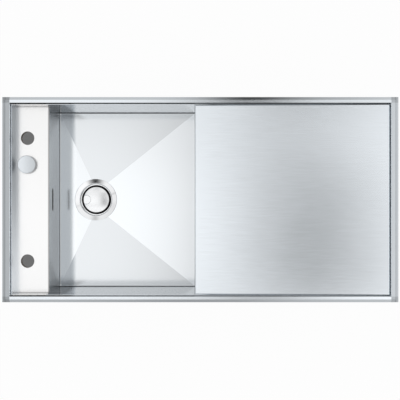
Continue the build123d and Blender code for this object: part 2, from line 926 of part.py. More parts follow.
# Rocker lever: one arm under the pin, a hub on the pivot, the other arm for the cable's end
with BuildPart() as rocker_lever:
    with BuildSketch(Plane.XZ):
        lever_start = waste_x - lever_tip
        lever_stop = cable_x + cable_end
        with Locations(((lever_start + lever_stop) / 2, lever_z)):
            Rectangle(lever_stop - lever_start, lever_thick)
        with Locations((pivot_x, lever_z)):
            Circle(lever_hub)
            Circle(pivot_radius + running_clearance, mode=Mode.SUBTRACT)
    extrude(amount=lever_width / 2, both=True)
    with BuildSketch(Plane.XY.offset(lever_z + lever_thick / 2)):
        with Locations((cable_x, 0)):
            Circle(cable_hole_radius)
    extrude(amount=-lever_thick, mode=Mode.SUBTRACT)
keep(rocker_lever, "rocker_lever")

with BuildPart() as rocker_pivot:
    with BuildSketch(Plane.XZ):
        with Locations((pivot_x, lever_z)):
            Circle(pivot_radius)
    extrude(amount=box_outer_y, both=True)
keep(rocker_pivot, "rocker_pivot")

with BuildPart() as lever_cover:
    box_between(
        (box_end, -box_outer_y, box_low - lever_box_wall),
        (box_end + cover_thick, box_outer_y, box_high + lever_box_wall),
    )
    lip_y = box_inner_y - cover_clearance
    box_between(
        (box_end - cover_lip, -lip_y, box_low + cover_clearance),
        (box_end, lip_y, box_high - cover_clearance),
    )
keep(lever_cover, "lever_cover")


def cable_gland(foot, neck):
    """Gland for a control cable: a neck in the housing's wall, a hexagon and a bored nipple."""
    with BuildPart() as gland:
        with BuildSketch(foot):
            Circle(gland_neck)
        extrude(amount=-neck)
        with BuildSketch(foot):
            RegularPolygon(gland_hex, 6)
        extrude(amount=gland_flange)
        with BuildSketch(foot.offset(gland_flange)):
            Circle(gland_radius)
        extrude(amount=gland_length - gland_flange)
        with BuildSketch(foot.offset(gland_length)):
            Circle(gland_bore)
        extrude(amount=-gland_length - neck, mode=Mode.SUBTRACT)
    return gland


keep(
    cable_gland(Plane(origin=(cable_x, 0, box_low - lever_box_wall), z_dir=(0, 0, -1)), lever_box_wall),
    "waste_cable_gland",
)

# Control knob and the cable drive under the tap ledge, on one upright axis
knob_axis = Axis((control_x, knob_offset, 0), (0, 0, 1))
knob_plane = Plane(origin=(control_x, knob_offset, 0), x_dir=(1, 0, 0), z_dir=(0, -1, 0))
knob_foot = ledge_top + knob_gap
knob_top = knob_foot + knob_height
bush_flange_top = ledge_top + bush_flange_thick
spindle_top = knob_top - spindle_cover
grub_z = knob_top - grub_drop
washer_foot = board_under - washer_thick
knob_nut_foot = washer_foot - knob_nut_height
box_roof = knob_nut_foot - box_wall
bush_end = box_roof - bush_tail
circlip_top = bush_end - rest_gap
circlip_foot = circlip_top - circlip_thick
drum_top = circlip_foot - circlip_land
drum_foot = drum_top - drum_height
drum_middle = (drum_top + drum_foot) / 2
drum_radius = cable_arm * lever_swing / knob_turn
box_floor = drum_foot - drum_gap
bush_thread = bush_shank_radius + thread_clearance

# Knob: a flat round cap, hollow underneath, with a hub on the spindle
with BuildPart() as control_knob:
    with BuildSketch(knob_plane):
        with BuildLine():
            Polyline(
                (0, knob_top),
                (0, spindle_top),
                (spindle_radius + running_clearance, spindle_top),
                (spindle_radius + running_clearance, bush_flange_top + rest_gap),
                (knob_hub_radius, bush_flange_top + rest_gap),
                (knob_hub_radius, knob_top - knob_roof),
                (knob_cavity_radius, knob_top - knob_roof),
                (knob_cavity_radius, knob_foot),
                (knob_radius, knob_foot),
                (knob_radius, knob_top - knob_edge),
                (knob_radius - knob_edge, knob_top),
                close=True,
            )
        make_face()
    revolve(axis=knob_axis)
    with BuildSketch(Plane.YZ.offset(control_x)):
        with Locations((knob_offset, grub_z)):
            Circle(grub_radius + running_clearance)
    extrude(amount=-knob_radius, mode=Mode.SUBTRACT)
keep(control_knob, "control_knob")

with BuildPart() as knob_grub_screw:
    with BuildSketch(Plane.YZ.offset(control_x - spindle_radius)):
        with Locations((knob_offset, grub_z)):
            Circle(grub_radius)
            RegularPolygon(grub_radius / 2, 6, mode=Mode.SUBTRACT)
    extrude(amount=-grub_length)
keep(knob_grub_screw, "knob_grub_screw")

with BuildPart() as knob_spindle:
    with BuildSketch(knob_plane):
        with BuildLine():
            Polyline(
                (0, spindle_top),
                (spindle_radius, spindle_top),
                (spindle_radius, circlip_top),
                (spindle_radius - circlip_groove, circlip_top),
                (spindle_radius - circlip_groove, circlip_foot),
                (spindle_radius, circlip_foot),
                (spindle_radius, drum_top),
                (spindle_end_radius, drum_top),
                (spindle_end_radius, drum_foot),
                (0, drum_foot),
                close=True,
            )
        make_face()
    revolve(axis=knob_axis)
keep(knob_spindle, "knob_spindle")

with BuildPart() as knob_bush:
    with BuildSketch(knob_plane):
        with BuildLine():
            Polyline(
                (spindle_radius + running_clearance, bush_flange_top),
                (bush_flange_radius, bush_flange_top),
                (bush_flange_radius, ledge_top),
                (bush_shank_radius, ledge_top),
                (bush_shank_radius, bush_end),
                (spindle_radius + running_clearance, bush_end),
                close=True,
            )
        make_face()
    revolve(axis=knob_axis)
keep(knob_bush, "knob_bush")

with BuildPart() as knob_washer:
    tube(washer_radius, bush_thread, washer_foot, board_under, control_x, knob_offset)
keep(knob_washer, "knob_washer")

with BuildPart() as knob_nut:
    with BuildSketch(Plane.XY.offset(knob_nut_foot)):
        with Locations((control_x, knob_offset)):
            RegularPolygon(knob_nut_flats / 2, 6, major_radius=False)
            Circle(bush_thread, mode=Mode.SUBTRACT)
    extrude(amount=knob_nut_height)
keep(knob_nut, "knob_nut")

# Cable box: a round housing threaded on the bush, with a flat pad for the cable's gland
gland_x = control_x + drum_radius
gland_face = knob_offset - box_radius - gland_pad
gland_half = gland_hex + gland_margin
with BuildPart() as cable_box:
    with BuildSketch(Plane.XY.offset(box_floor - box_wall)):
        with Locations((control_x, knob_offset)):
            Circle(box_radius)
    extrude(amount=knob_nut_foot - box_floor + box_wall)
    box_between(
        (gland_x - gland_half, gland_face, drum_middle - gland_half),
        (gland_x + gland_half, knob_offset, drum_middle + gland_half),
    )
    with BuildSketch(Plane.XY.offset(box_floor)):
        with Locations((control_x, knob_offset)):
            Circle(box_radius - box_wall)
    extrude(amount=box_roof - box_floor, mode=Mode.SUBTRACT)
    with BuildSketch(Plane.XY.offset(box_roof)):
        with Locations((control_x, knob_offset)):
            Circle(bush_thread)
    extrude(amount=box_wall, mode=Mode.SUBTRACT)
    with BuildSketch(Plane.XZ.offset(-gland_face)):
        with Locations((gland_x, drum_middle)):
            Circle(gland_neck + gland_clearance)
    extrude(amount=-box_radius, mode=Mode.SUBTRACT)
keep(cable_box, "cable_box")

with BuildPart() as cable_drum:
    with BuildSketch(knob_plane):
        with BuildLine():
            Polyline(
                (spindle_end_radius + running_clearance, drum_top),
                (drum_flange_radius, drum_top),
                (drum_flange_radius, drum_top - drum_flange_thick),
                (drum_radius, drum_top - drum_flange_thick),
                (drum_radius, drum_foot + drum_flange_thick),
                (drum_flange_radius, drum_foot + drum_flange_thick),
                (drum_flange_radius, drum_foot),
                (spindle_end_radius + running_clearance, drum_foot),
                close=True,
            )
        make_face()
    revolve(axis=knob_axis)
keep(cable_drum, "cable_drum")

with BuildPart() as spindle_circlip:
    with BuildSketch(Plane.XY.offset(circlip_foot)):
        with Locations((control_x, knob_offset)):
            Circle(circlip_radius)
            Circle(spindle_radius - circlip_groove + running_clearance, mode=Mode.SUBTRACT)
        with Locations((control_x + circlip_radius, knob_offset)):
            Rectangle(2 * circlip_radius, spindle_radius, mode=Mode.SUBTRACT)
    extrude(amount=circlip_thick)
keep(spindle_circlip, "spindle_circlip")

keep(
    cable_gland(Plane(origin=(gland_x, gland_face, drum_middle), z_dir=(0, -1, 0)), box_wall),
    "knob_cable_gland",
)

# Overflow: a hollow box on the bowl's left wall, and a pipe from it to the waste body
overflow_face = bowl_left - sheet
overflow_front = overflow_face - overflow_seal_thick
overflow_back = overflow_front - overflow_depth
overflow_low = -slot_drop - overflow_height / 2
overflow_high = -slot_drop + overflow_height / 2
overflow_inner_y = overflow_length / 2 - overflow_wall
pipe_x = (overflow_front + overflow_back) / 2
pipe_top = overflow_low - spigot_length
pipe_bore = pipe_radius - pipe_wall

with BuildPart() as overflow_seal:
    with BuildSketch(Plane.YZ.offset(overflow_front)):
        with Locations((0, -slot_drop)):
            Rectangle(overflow_length, overflow_height)
            Rectangle(2 * overflow_inner_y, overflow_height - 2 * overflow_wall, mode=Mode.SUBTRACT)
    extrude(amount=overflow_seal_thick)
keep(overflow_seal, "overflow_seal")

with BuildPart() as overflow_body:
    box_between(
        (overflow_back, -overflow_length / 2, overflow_low),
        (overflow_front, overflow_length / 2, overflow_high),
    )
    with BuildSketch(Plane.XY.offset(pipe_top)):
        with Locations((pipe_x, 0)):
            Circle(pipe_radius)
    extrude(amount=spigot_length)
    box_between(
        (overflow_back + overflow_wall, -overflow_inner_y, overflow_low + overflow_wall),
        (overflow_front, overflow_inner_y, overflow_high - overflow_wall),
        mode=Mode.SUBTRACT,
    )
    with BuildSketch(Plane.XY.offset(pipe_top)):
        with Locations((pipe_x, 0)):
            Circle(pipe_bore)
    extrude(amount=spigot_length + overflow_wall, mode=Mode.SUBTRACT)
keep(overflow_body, "overflow_body")

with BuildPart() as overflow_pipe:
    with BuildLine(Plane.XZ) as pipe_route:
        FilletPolyline(
            (pipe_x, pipe_top),
            (pipe_x, spigot_z),
            (spigot_end, spigot_z),
            radius=pipe_bend,
        )
    with BuildSketch(Plane.XY.offset(pipe_top)):
        with Locations((pipe_x, 0)):
            Circle(pipe_radius)
            Circle(pipe_bore, mode=Mode.SUBTRACT)
    sweep(path=pipe_route.wires()[0])
keep(overflow_pipe, "overflow_pipe")

with BuildPart() as overflow_nuts:
    with BuildSketch(Plane.XY.offset(pipe_top - pipe_nut_length / 2)):
        with Locations((pipe_x, 0)):
            RegularPolygon(pipe_nut_radius, pipe_nut_sides)
            Circle(pipe_radius + pipe_nut_clearance, mode=Mode.SUBTRACT)
    extrude(amount=pipe_nut_length)
    with BuildSketch(Plane.YZ.offset(spigot_end - pipe_nut_length / 2)):
        with Locations((0, spigot_z)):
            RegularPolygon(pipe_nut_radius, pipe_nut_sides)
            Circle(pipe_radius + pipe_nut_clearance, mode=Mode.SUBTRACT)
    extrude(amount=pipe_nut_length)
keep(overflow_nuts, "overflow_nuts")
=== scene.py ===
import logging
import math
from dataclasses import dataclass
from enum import Enum
from typing import Any, Iterable, Sequence

import bmesh
import bpy
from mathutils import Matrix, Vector


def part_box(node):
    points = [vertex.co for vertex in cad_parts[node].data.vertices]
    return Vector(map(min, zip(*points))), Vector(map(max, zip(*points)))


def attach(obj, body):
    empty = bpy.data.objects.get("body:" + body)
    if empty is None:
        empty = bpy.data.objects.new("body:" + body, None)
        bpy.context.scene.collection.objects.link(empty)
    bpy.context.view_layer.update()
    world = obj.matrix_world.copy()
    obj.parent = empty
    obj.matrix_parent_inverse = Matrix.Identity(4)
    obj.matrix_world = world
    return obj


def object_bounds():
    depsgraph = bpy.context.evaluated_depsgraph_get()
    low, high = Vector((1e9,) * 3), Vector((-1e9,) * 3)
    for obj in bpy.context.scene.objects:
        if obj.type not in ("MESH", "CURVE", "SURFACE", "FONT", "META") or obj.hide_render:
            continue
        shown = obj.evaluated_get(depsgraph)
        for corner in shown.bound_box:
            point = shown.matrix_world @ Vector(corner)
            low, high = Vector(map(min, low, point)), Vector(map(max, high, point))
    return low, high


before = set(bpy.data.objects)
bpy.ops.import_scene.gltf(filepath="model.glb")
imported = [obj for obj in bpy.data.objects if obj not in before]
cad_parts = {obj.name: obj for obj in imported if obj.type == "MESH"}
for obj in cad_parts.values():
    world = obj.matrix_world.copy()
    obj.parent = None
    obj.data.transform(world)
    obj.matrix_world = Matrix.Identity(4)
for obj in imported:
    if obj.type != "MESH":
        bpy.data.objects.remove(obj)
CAD_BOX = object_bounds()

MM = 0.001
STEEL_GREY = (0.95, 1.0, 1.045)
Colour = tuple[float, float, float]
Parts = tuple[float, float, float]
Span = tuple[float, float]
Four = tuple[float, float, float, float]
Socket = bpy.types.NodeSocket
log = logging.getLogger("kitchen_sink")


class Signal:
    """Number that changes over a surface: arithmetic on it adds Math nodes to its tree."""

    def __init__(self, tree: "ShaderTree", socket: Socket) -> None:
        """Wrap one output socket of a tree."""
        self.tree = tree
        self.socket = socket

    def math(self, operation: str, *operands: Any) -> "Signal":
        """Result of one Math node that takes these numbers or signals in order."""
        made = self.tree.node("ShaderNodeMath", {"operation": operation}, dict(enumerate(operands)))
        return Signal(self.tree, made.outputs[0])

    def __add__(self, other: Any) -> "Signal":
        """Sum."""
        return self.math("ADD", self, other)

    def __sub__(self, other: Any) -> "Signal":
        """Difference."""
        return self.math("SUBTRACT", self, other)

    def __rsub__(self, other: Any) -> "Signal":
        """Difference from a number on the left."""
        return self.math("SUBTRACT", other, self)

    def __mul__(self, other: Any) -> "Signal":
        """Product."""
        return self.math("MULTIPLY", self, other)

    def __truediv__(self, other: Any) -> "Signal":
        """Quotient."""
        return self.math("DIVIDE", self, other)

    __radd__ = __add__
    __rmul__ = __mul__

    def size(self) -> "Signal":
        """Value without its sign."""
        return self.math("ABSOLUTE", self)

    def toned(self, tone: float) -> "Signal":
        """Factor that is 1 where this share is 0, and the tone where it is 1."""
        return 1 - (1 - tone) * self

    def hypot(self, other: "Signal") -> "Signal":
        """Distance whose parts along two axes are this number and another."""
        return self.math("SQRT", self * self + other * other)

    def bell(self, middle: float, width: float) -> "Signal":
        """Smooth hump that is 1 at the middle and about a third of it at the width from there."""
        reach = (self - middle) / width
        return self.math("EXPONENT", -1.0 * (reach * reach))

    def ramp(self, low: float, high: float) -> "Signal":
        """Smooth step from 0 to 1.

        Args:
            low: Value where the step starts.
            high: Value where it ends.

        Returns:
            The step.
        """
        made = self.tree.node(
            "ShaderNodeMapRange",
            {"interpolation_type": "SMOOTHSTEP"},
            {"Value": self, "From Min": low, "From Max": high},
        )
        return Signal(self.tree, made.outputs[0])

    def band(self, start: float, full: float, fade: float, end: float) -> "Signal":
        """Share that rises to 1 from start to full and falls to 0 again from fade to end."""
        return self.ramp(start, full) * (1 - self.ramp(fade, end))


class NodeTree:
    """Tree that is filled node by node."""

    def __init__(self, tree: bpy.types.NodeTree) -> None:
        """Empty a tree and take it over."""
        self.tree = tree
        tree.nodes.clear()

    def node(self, kind: str, settings: dict[str, Any], inputs: dict[Any, Any]) -> bpy.types.Node:
        """Add one node.

        Args:
            kind: Node type.
            settings: Attributes, set first.
            inputs: Value, signal or socket for each input, by name or by number.

        Returns:
            The node.
        """
        made = self.tree.nodes.new(kind)
        for name, value in settings.items():
            setattr(made, name, value)
        for name, value in inputs.items():
            if isinstance(value, Signal):
                value = value.socket
            if isinstance(value, Socket):
                self.tree.links.new(value, made.inputs[name])
            else:
                made.inputs[name].default_value = value
        return made


class ShaderTree(NodeTree):
    """Node tree of a material or of the world."""

    def place(self) -> Socket:
        """Place on the piece, in metres in the sink's frame."""
        return self.node("ShaderNodeTexCoord", {}, {}).outputs["Object"]

    def axes(self) -> tuple[Signal, Signal, Signal]:
        """Place on the piece as three numbers."""
        parts = self.node("ShaderNodeSeparateXYZ", {}, {0: self.place()})
        return tuple(Signal(self, socket) for socket in parts.outputs)

    def stretched(self, scale: Sequence[float], centre: Sequence[float] = (0, 0, 0)) -> Socket:
        """Place on the piece, moved to a centre and scaled along each axis.

        Args:
            scale: Repeats in a metre along X, Y and Z.
            centre: Point that becomes the pattern's origin, in metres.

        Returns:
            The vector socket.
        """
        moved = [-c * s for c, s in zip(centre, scale)]
        made = self.node("ShaderNodeMapping", {}, {"Vector": self.place(), "Scale": scale, "Location": moved})
        return made.outputs[0]

    def scaled(self, repeats: float) -> Socket:
        """Place on the piece, scaled alike along each axis."""
        return self.stretched((repeats, repeats, repeats))

    def noise(self, vector: Socket, detail: float = 2.0) -> Signal:
        """Cloudy noise from 0 to 1 with a grain of about one unit."""
        made = self.node("ShaderNodeTexNoise", {}, {"Vector": vector, "Scale": 1.0, "Detail": detail})
        return Signal(self, made.outputs[0])

    def blend(self, share: Any, first: Colour, second: Colour) -> Socket:
        """Colour between two linear colours, the first where the share is 0."""
        ends = {6: (*first, 1.0), 7: (*second, 1.0)}
        return self.node("ShaderNodeMix", {"data_type": "RGBA"}, {0: share, **ends}).outputs[2]

    def relief(
        self, height: Signal, depth: float, strength: float, under: Socket | None = None
    ) -> Socket:
        """Surface normal of a fine relief.

        Args:
            height: Relief from 0 to 1.
            depth: Metres between 0 and 1.
            strength: Share of the relief that shows.
            under: Normal of a relief that this one is laid over, if there is one.

        Returns:
            The normal socket.
        """
        inputs = {"Height": height, "Distance": depth, "Strength": strength}
        if under is not None:
            inputs["Normal"] = under
        return self.node("ShaderNodeBump", {}, inputs).outputs[0]


class Axis(Enum):
    """Axis of the sink's frame."""

    X = 0
    Y = 1
    Z = 2


class Grain(Enum):
    """Direction in which a steel face is brushed."""

    ALONG_X = "along x"
    ALONG_Y = "along y"
    TURNED = "round an upright axis"


def shaded(colour: Colour, factor: float) -> Colour:
    """Colour made lighter or darker by a factor."""
    return tuple(min(1.0, c * factor) for c in colour)


def steel(tone: float) -> Colour:
    """Cool grey of stainless steel."""
    return shaded(STEEL_GREY, tone)


def grey(tone: float) -> Four:
    """Even grey with full cover, as a socket takes it."""
    return (tone, tone, tone, 1.0)


@dataclass(frozen=True)
class Shade:
    """Part of a sheet in a painted tone of light or shade, past an edge that starts and ends at two places."""

    axis: Axis
    edge: Span
    tone: float
    mirrored: bool = False
    middle: float = 0.0

    def place(self, tree: ShaderTree) -> Signal:
        """Place along the axis from the middle, without its sign where the shade is mirrored."""
        along = tree.axes()[self.axis.value] - self.middle
        return along.size() if self.mirrored else along

    def share(self, tree: ShaderTree) -> Signal:
        """0 before the edge, 1 past it."""
        return self.place(tree).ramp(*self.edge)


@dataclass(frozen=True)
class Line(Shade):
    """Narrow line of painted shade in a tone of its own, where the edge gives its place and its width."""

    def share(self, tree: ShaderTree) -> Signal:
        """1 on the line, 0 far from it."""
        return self.place(tree).bell(*self.edge)


@dataclass(frozen=True)
class Finish:
    """Surface of one kind of piece: its colour, gloss and the fine pattern in it."""

    name: str
    colour: Colour
    roughness: float
    metallic: float = 0.0
    gloss: float = 0.5
    tones: Span = (0.95, 1.05)
    rough_parts: Parts = (0.75, 0.3, 0.2)
    depth: float = 0.03 * MM
    relief_share: float = 0.5

    def material(self) -> bpy.types.Material:
        """Make the material, once for each name.

        Returns:
            The material.
        """
        made = bpy.data.materials.get(self.name)
        if made is None:
            made = bpy.data.materials.new(self.name)
            made.use_nodes = True
            tree = ShaderTree(made.node_tree)
            inputs = {"Metallic": self.metallic, "Specular IOR Level": self.gloss, **self.pattern(tree)}
            tree.node("ShaderNodeOutputMaterial", {}, {"Surface": self.surface(tree, inputs)})
        return made

    def surface(self, tree: ShaderTree, inputs: dict[str, Any]) -> Socket:
        """Surface shader with the inputs of this finish."""
        return tree.node("ShaderNodeBsdfPrincipled", {}, inputs).outputs[0]

    def pattern(self, tree: ShaderTree) -> dict[str, Any]:
        """Inputs of the surface shader that give this finish its pattern."""
        raise NotImplementedError

    def spread(self, tree: ShaderTree, share: Signal) -> Socket:
        """Colour between the darkest and the lightest tone of this finish."""
        return tree.blend(share, *(shaded(self.colour, tone) for tone in self.tones))

    def rough(self, first: Signal, second: Signal) -> Signal:
        """Roughness that rises with two patterns."""
        least, by_first, by_second = self.rough_parts
        return self.roughness * (least + by_first * first + by_second * second)


@dataclass(frozen=True)
class BrushedSteel(Finish):
    """Stainless steel with fine parallel or turned lines."""

    metallic: float = 1.0
    grain: Grain = Grain.ALONG_X
    line: float = 1.2 * MM
    line_length: float = 160 * MM
    line_detail: float = 3.0
    line_share: float = 0.75
    cloud_repeats: float = 7.0
    axis: Parts = (0.0, 0.0, 0.0)
    edge_tone: float = 1.0
    # Painted light and shade over parts of the piece.
    shades: tuple[Shade, ...] = ()

    def lines(self, tree: ShaderTree) -> Signal:
        """Brush lines along the grain.

        Args:
            tree: Tree of the material.

        Returns:
            The lines, from 0 to 1.
        """
        fine, slow = 1 / self.line, 1 / self.line_length
        if self.grain is Grain.TURNED:
            flat = tree.stretched((fine, fine, 0.0), self.axis)
            radius = tree.node("ShaderNodeVectorMath", {"operation": "LENGTH"}, {0: flat}).outputs["Value"]
            rings = {"W": radius, "Scale": 1.0, "Detail": self.line_detail}
            made = tree.node("ShaderNodeTexNoise", {"noise_dimensions": "1D"}, rings)
            return Signal(tree, made.outputs[0])
        scale = (slow, fine, fine) if self.grain is Grain.ALONG_X else (fine, slow, fine)
        return tree.noise(tree.stretched(scale), self.line_detail)

    def tone(self, tree: ShaderTree) -> Signal | None:
        """Factor on the colour from the painted light and shade of its shades, or None where it is even."""
        factors = [shade.share(tree).toned(shade.tone) for shade in self.shades]
        return math.prod(factors) if factors else None

    def pattern(self, tree: ShaderTree) -> dict[str, Any]:
        """Lines in the colour, the gloss and the relief, over a slow cloudiness.

        Args:
            tree: Tree of the material.

        Returns:
            Inputs of the surface shader.
        """
        lines = self.lines(tree)
        cloud = tree.noise(tree.scaled(self.cloud_repeats))
        colour = self.spread(tree, self.line_share * lines + (1 - self.line_share) * cloud)
        tone = self.tone(tree)
        if tone is not None:
            scaled = tree.node("ShaderNodeVectorMath", {"operation": "SCALE"}, {0: colour, "Scale": tone})
            colour = scaled.outputs[0]
        return {
            "Base Color": colour,
            "Roughness": self.rough(lines, cloud),
            "Normal": tree.relief(lines, self.depth, self.relief_share),
            "Specular Tint": grey(self.edge_tone),
        }


@dataclass(frozen=True)
class StreakedSteel(BrushedSteel):
    """Brushed steel with long faint streaks along X."""

    streak: float = 0.035
    streak_width: float = 2.4 * MM
    streak_length: float = 533.3333 * MM

    def tone(self, tree: ShaderTree) -> Signal:
        """Tone that wavers from streak to streak.

        Args:
            tree: Tree of the material.

        Returns:
            The factor.
        """
        slow, fine = 1 / self.streak_length, 1 / self.streak_width
        wave = tree.noise(tree.stretched((slow, fine, fine)), detail=1.0)
        return 1 + 2 * self.streak * (wave - 0.5)


@dataclass(frozen=True)
class FallSteel(BrushedSteel):
    """Bowl floor: four falls to the waste, the back and front ones darker with painted shade."""

    left: float = -391 * MM
    right: float = -14 * MM
    back: float = 241 * MM
    valley: float = -287.5 * MM
    valley_half: float = 23 * MM
    fold: float = 0.004
    # Painted shade and painted reflection: tones of the back and front falls, the seams and the strip by the
    # left wall.
    end_tone: float = 0.86
    seam: Span = (1.25 * MM, 2.25 * MM)
    seam_tone: float = 0.36
    left_seam_tone: float = 0.6
    strip: float = 46 * MM
    strip_fade: Span = (0.65, 0.9)
    strip_slope: float = 0.054
    strip_tone: float = 0.83

    def tone(self, tree: ShaderTree) -> Signal:
        """Painted shade: full tone beside the waste, less behind and before it, least in the seam along the
        walls.

        Args:
            tree: Tree of the material.

        Returns:
            The factor.
        """
        x, y, _ = tree.axes()
        left = (self.valley - x) / (self.valley - self.left)
        right = (x - self.valley) / (self.right - self.valley)
        ends = (y.size() - self.valley_half) / (self.back - self.valley_half)
        sides = left.math("MAXIMUM", left, right)
        # Painted shade: the back and front falls a tone darker, for how they take the light.
        fall = (ends - sides).ramp(-self.fold, self.fold)
        beside = x - self.left
        inset = x.math("MINIMUM", self.right - x, self.back - y.size())
        # Painted reflection of the left wall: a darker strip of the floor beside it.
        strip = 1 - beside.ramp(*(share * self.strip for share in self.strip_fade))
        # Painted shade in the seams where the floor meets the walls.
        left_seam_shade, seam_shade = 1 - beside.ramp(*self.seam), 1 - inset.ramp(*self.seam)
        sheet = fall.toned(self.end_tone) * strip.toned(self.strip_tone)
        return sheet * left_seam_shade.toned(self.left_seam_tone) * seam_shade.toned(self.seam_tone)

    def pattern(self, tree: ShaderTree) -> dict[str, Any]:
        """Brushed steel, with a strip along the left wall drawn a little lower towards that wall.

        Args:
            tree: Tree of the material.

        Returns:
            Inputs of the surface shader.
        """
        inputs = super().pattern(tree)
        x, _, _ = tree.axes()
        drop = x.math("MINIMUM", x - (self.left + self.strip), 0.0)
        inputs["Normal"] = tree.relief(drop, self.strip_slope, 1.0, under=inputs["Normal"])
        return inputs


@dataclass(frozen=True)
class LongBarSteel(BrushedSteel):
    """Back or front bar of the rim, with painted shade on its inner face beside the gap."""

    inner: Span = (244.1 * MM, 244.5 * MM)
    brow: Span = (-6 * MM, -2 * MM)
    brow_tone: float = 0.12
    foot_tone: float = 0.65
    corner: Span = (-333 * MM, -317 * MM)
    corner_tone: float = 0.3

    def tone(self, tree: ShaderTree) -> Signal:
        """Painted shade: full tone on the bar's top, less on its inner face, least high on that face and at its
        left.

        Args:
            tree: Tree of the material.

        Returns:
            The factor.
        """
        x, y, z = tree.axes()
        inside, corner = 1 - y.size().ramp(*self.inner), 1 - x.ramp(*self.corner)
        face = self.foot_tone - (self.foot_tone - self.brow_tone) * z.ramp(*self.brow)
        return 1 - inside * (1 - face * corner.toned(self.corner_tone))


@dataclass(frozen=True)
class GlancingSteel(BrushedSteel):
    """Steel sheet that, seen along its face, has painted shade in one part: beside the left corner, or as said.
    """

    # Painted reflection of the left wall near the left corner.
    painted_shade: Shade = Shade(Axis.X, (-337 * MM, -353 * MM), 0.5)

    def surface(self, tree: ShaderTree, inputs: dict[str, Any]) -> Socket:
        """Mix of the bright sheet and the sheet with painted shade.

        Args:
            tree: Tree of the material.
            inputs: Inputs of the surface shader.

        Returns:
            The shader socket.
        """
        painted_shade = super().surface(tree, {**inputs, "Specular Tint": grey(self.painted_shade.tone)})
        bright = super().surface(tree, inputs)
        return tree.node("ShaderNodeMixShader", {}, {0: self.painted_shade.share(tree), 1: bright, 2: painted_shade}).outputs[0]


@dataclass(frozen=True)
class SlotWallSteel(GlancingSteel):
    """Left wall of the bowl, with painted shade round the overflow slot."""

    slot_height: float = -93 * MM
    slot_straight: float = 22.5 * MM
    lip: Span = (7.4 * MM, 7.8 * MM)
    lip_tone: float = 0.05

    def tone(self, tree: ShaderTree) -> Signal:
        """Painted shade: full tone on the wall, least on the slot's lip.

        Args:
            tree: Tree of the material.

        Returns:
            The factor.
        """
        _, y, z = tree.axes()
        past = y.math("MAXIMUM", y.size() - self.slot_straight, 0.0)
        # Painted shade round the slot's lip.
        lip = 1 - past.hypot(z - self.slot_height).ramp(*self.lip)
        return lip.toned(self.lip_tone)


@dataclass(frozen=True)
class CapSteel(BrushedSteel):
    """Strainer cap with the seal's black lip round its edge and painted shade in a line round the thumb scoop.
    """

    lip: Span = (35.0 * MM, 35.4 * MM)
    lip_tone: float = 0.02
    scoop_place: float = -27.5 * MM
    scoop_radius: float = 12.1 * MM
    scoop_line: float = 0.7 * MM
    scoop_tone: float = 0.66

    def tone(self, tree: ShaderTree) -> Signal:
        """Full tone on the dome, less on the scoop's line of painted shade, least on the lip.

        Args:
            tree: Tree of the material.

        Returns:
            The factor.
        """
        x, y, _ = tree.axes()
        across, along = x - self.axis[0], y - self.axis[1]
        lip = across.hypot(along).ramp(*self.lip)
        # Painted shade along the scoop's edge.
        line = (across - self.scoop_place).hypot(along).bell(self.scoop_radius, self.scoop_line)
        return line.toned(self.scoop_tone) * lip.toned(self.lip_tone)


@dataclass(frozen=True)
class PlatedMetal(Finish):
    """Zinc-plated or machined metal with a faint crystal pattern."""

    metallic: float = 1.0
    tones: Span = (0.88, 1.1)
    rough_parts: Parts = (0.8, 0.25, 0.2)
    depth: float = 0.02 * MM
    relief_share: float = 0.3
    spangle: float = 3 * MM
    scuff_repeats: float = 900.0

    def pattern(self, tree: ShaderTree) -> dict[str, Any]:
        """Small flat patches that differ a little in colour and gloss.

        Args:
            tree: Tree of the material.

        Returns:
            Inputs of the surface shader.
        """
        patch = tree.node("ShaderNodeTexVoronoi", {}, {"Vector": tree.scaled(1 / self.spangle), "Scale": 1.0})
        tone = Signal(tree, tree.node("ShaderNodeSeparateColor", {}, {0: patch.outputs["Color"]}).outputs[0])
        scuff = tree.noise(tree.scaled(self.scuff_repeats))
        return {
            "Base Color": self.spread(tree, tone),
            "Roughness": self.rough(tone, scuff),
            "Normal": tree.relief(scuff, self.depth, self.relief_share),
        }


@dataclass(frozen=True)
class Moulding(Finish):
    """Moulded plastic or rubber with a spark-eroded grain."""

    tones: Span = (0.86, 1.14)
    rough_parts: Parts = (0.82, 0.24, 0.12)
    relief_share: float = 0.6
    grain: float = 0.6 * MM
    cloud_repeats: float = 28.0

    def pattern(self, tree: ShaderTree) -> dict[str, Any]:
        """Fine pebbled relief, with a slow change of gloss as handled mouldings have.

        Args:
            tree: Tree of the material.

        Returns:
            Inputs of the surface shader.
        """
        pebble = tree.noise(tree.scaled(1 / self.grain), detail=1.0)
        cloud = tree.noise(tree.scaled(self.cloud_repeats))
        return {
            "Base Color": self.spread(tree, cloud),
            "Roughness": self.rough(cloud, pebble),
            "Normal": tree.relief(pebble, self.depth, self.relief_share),
        }


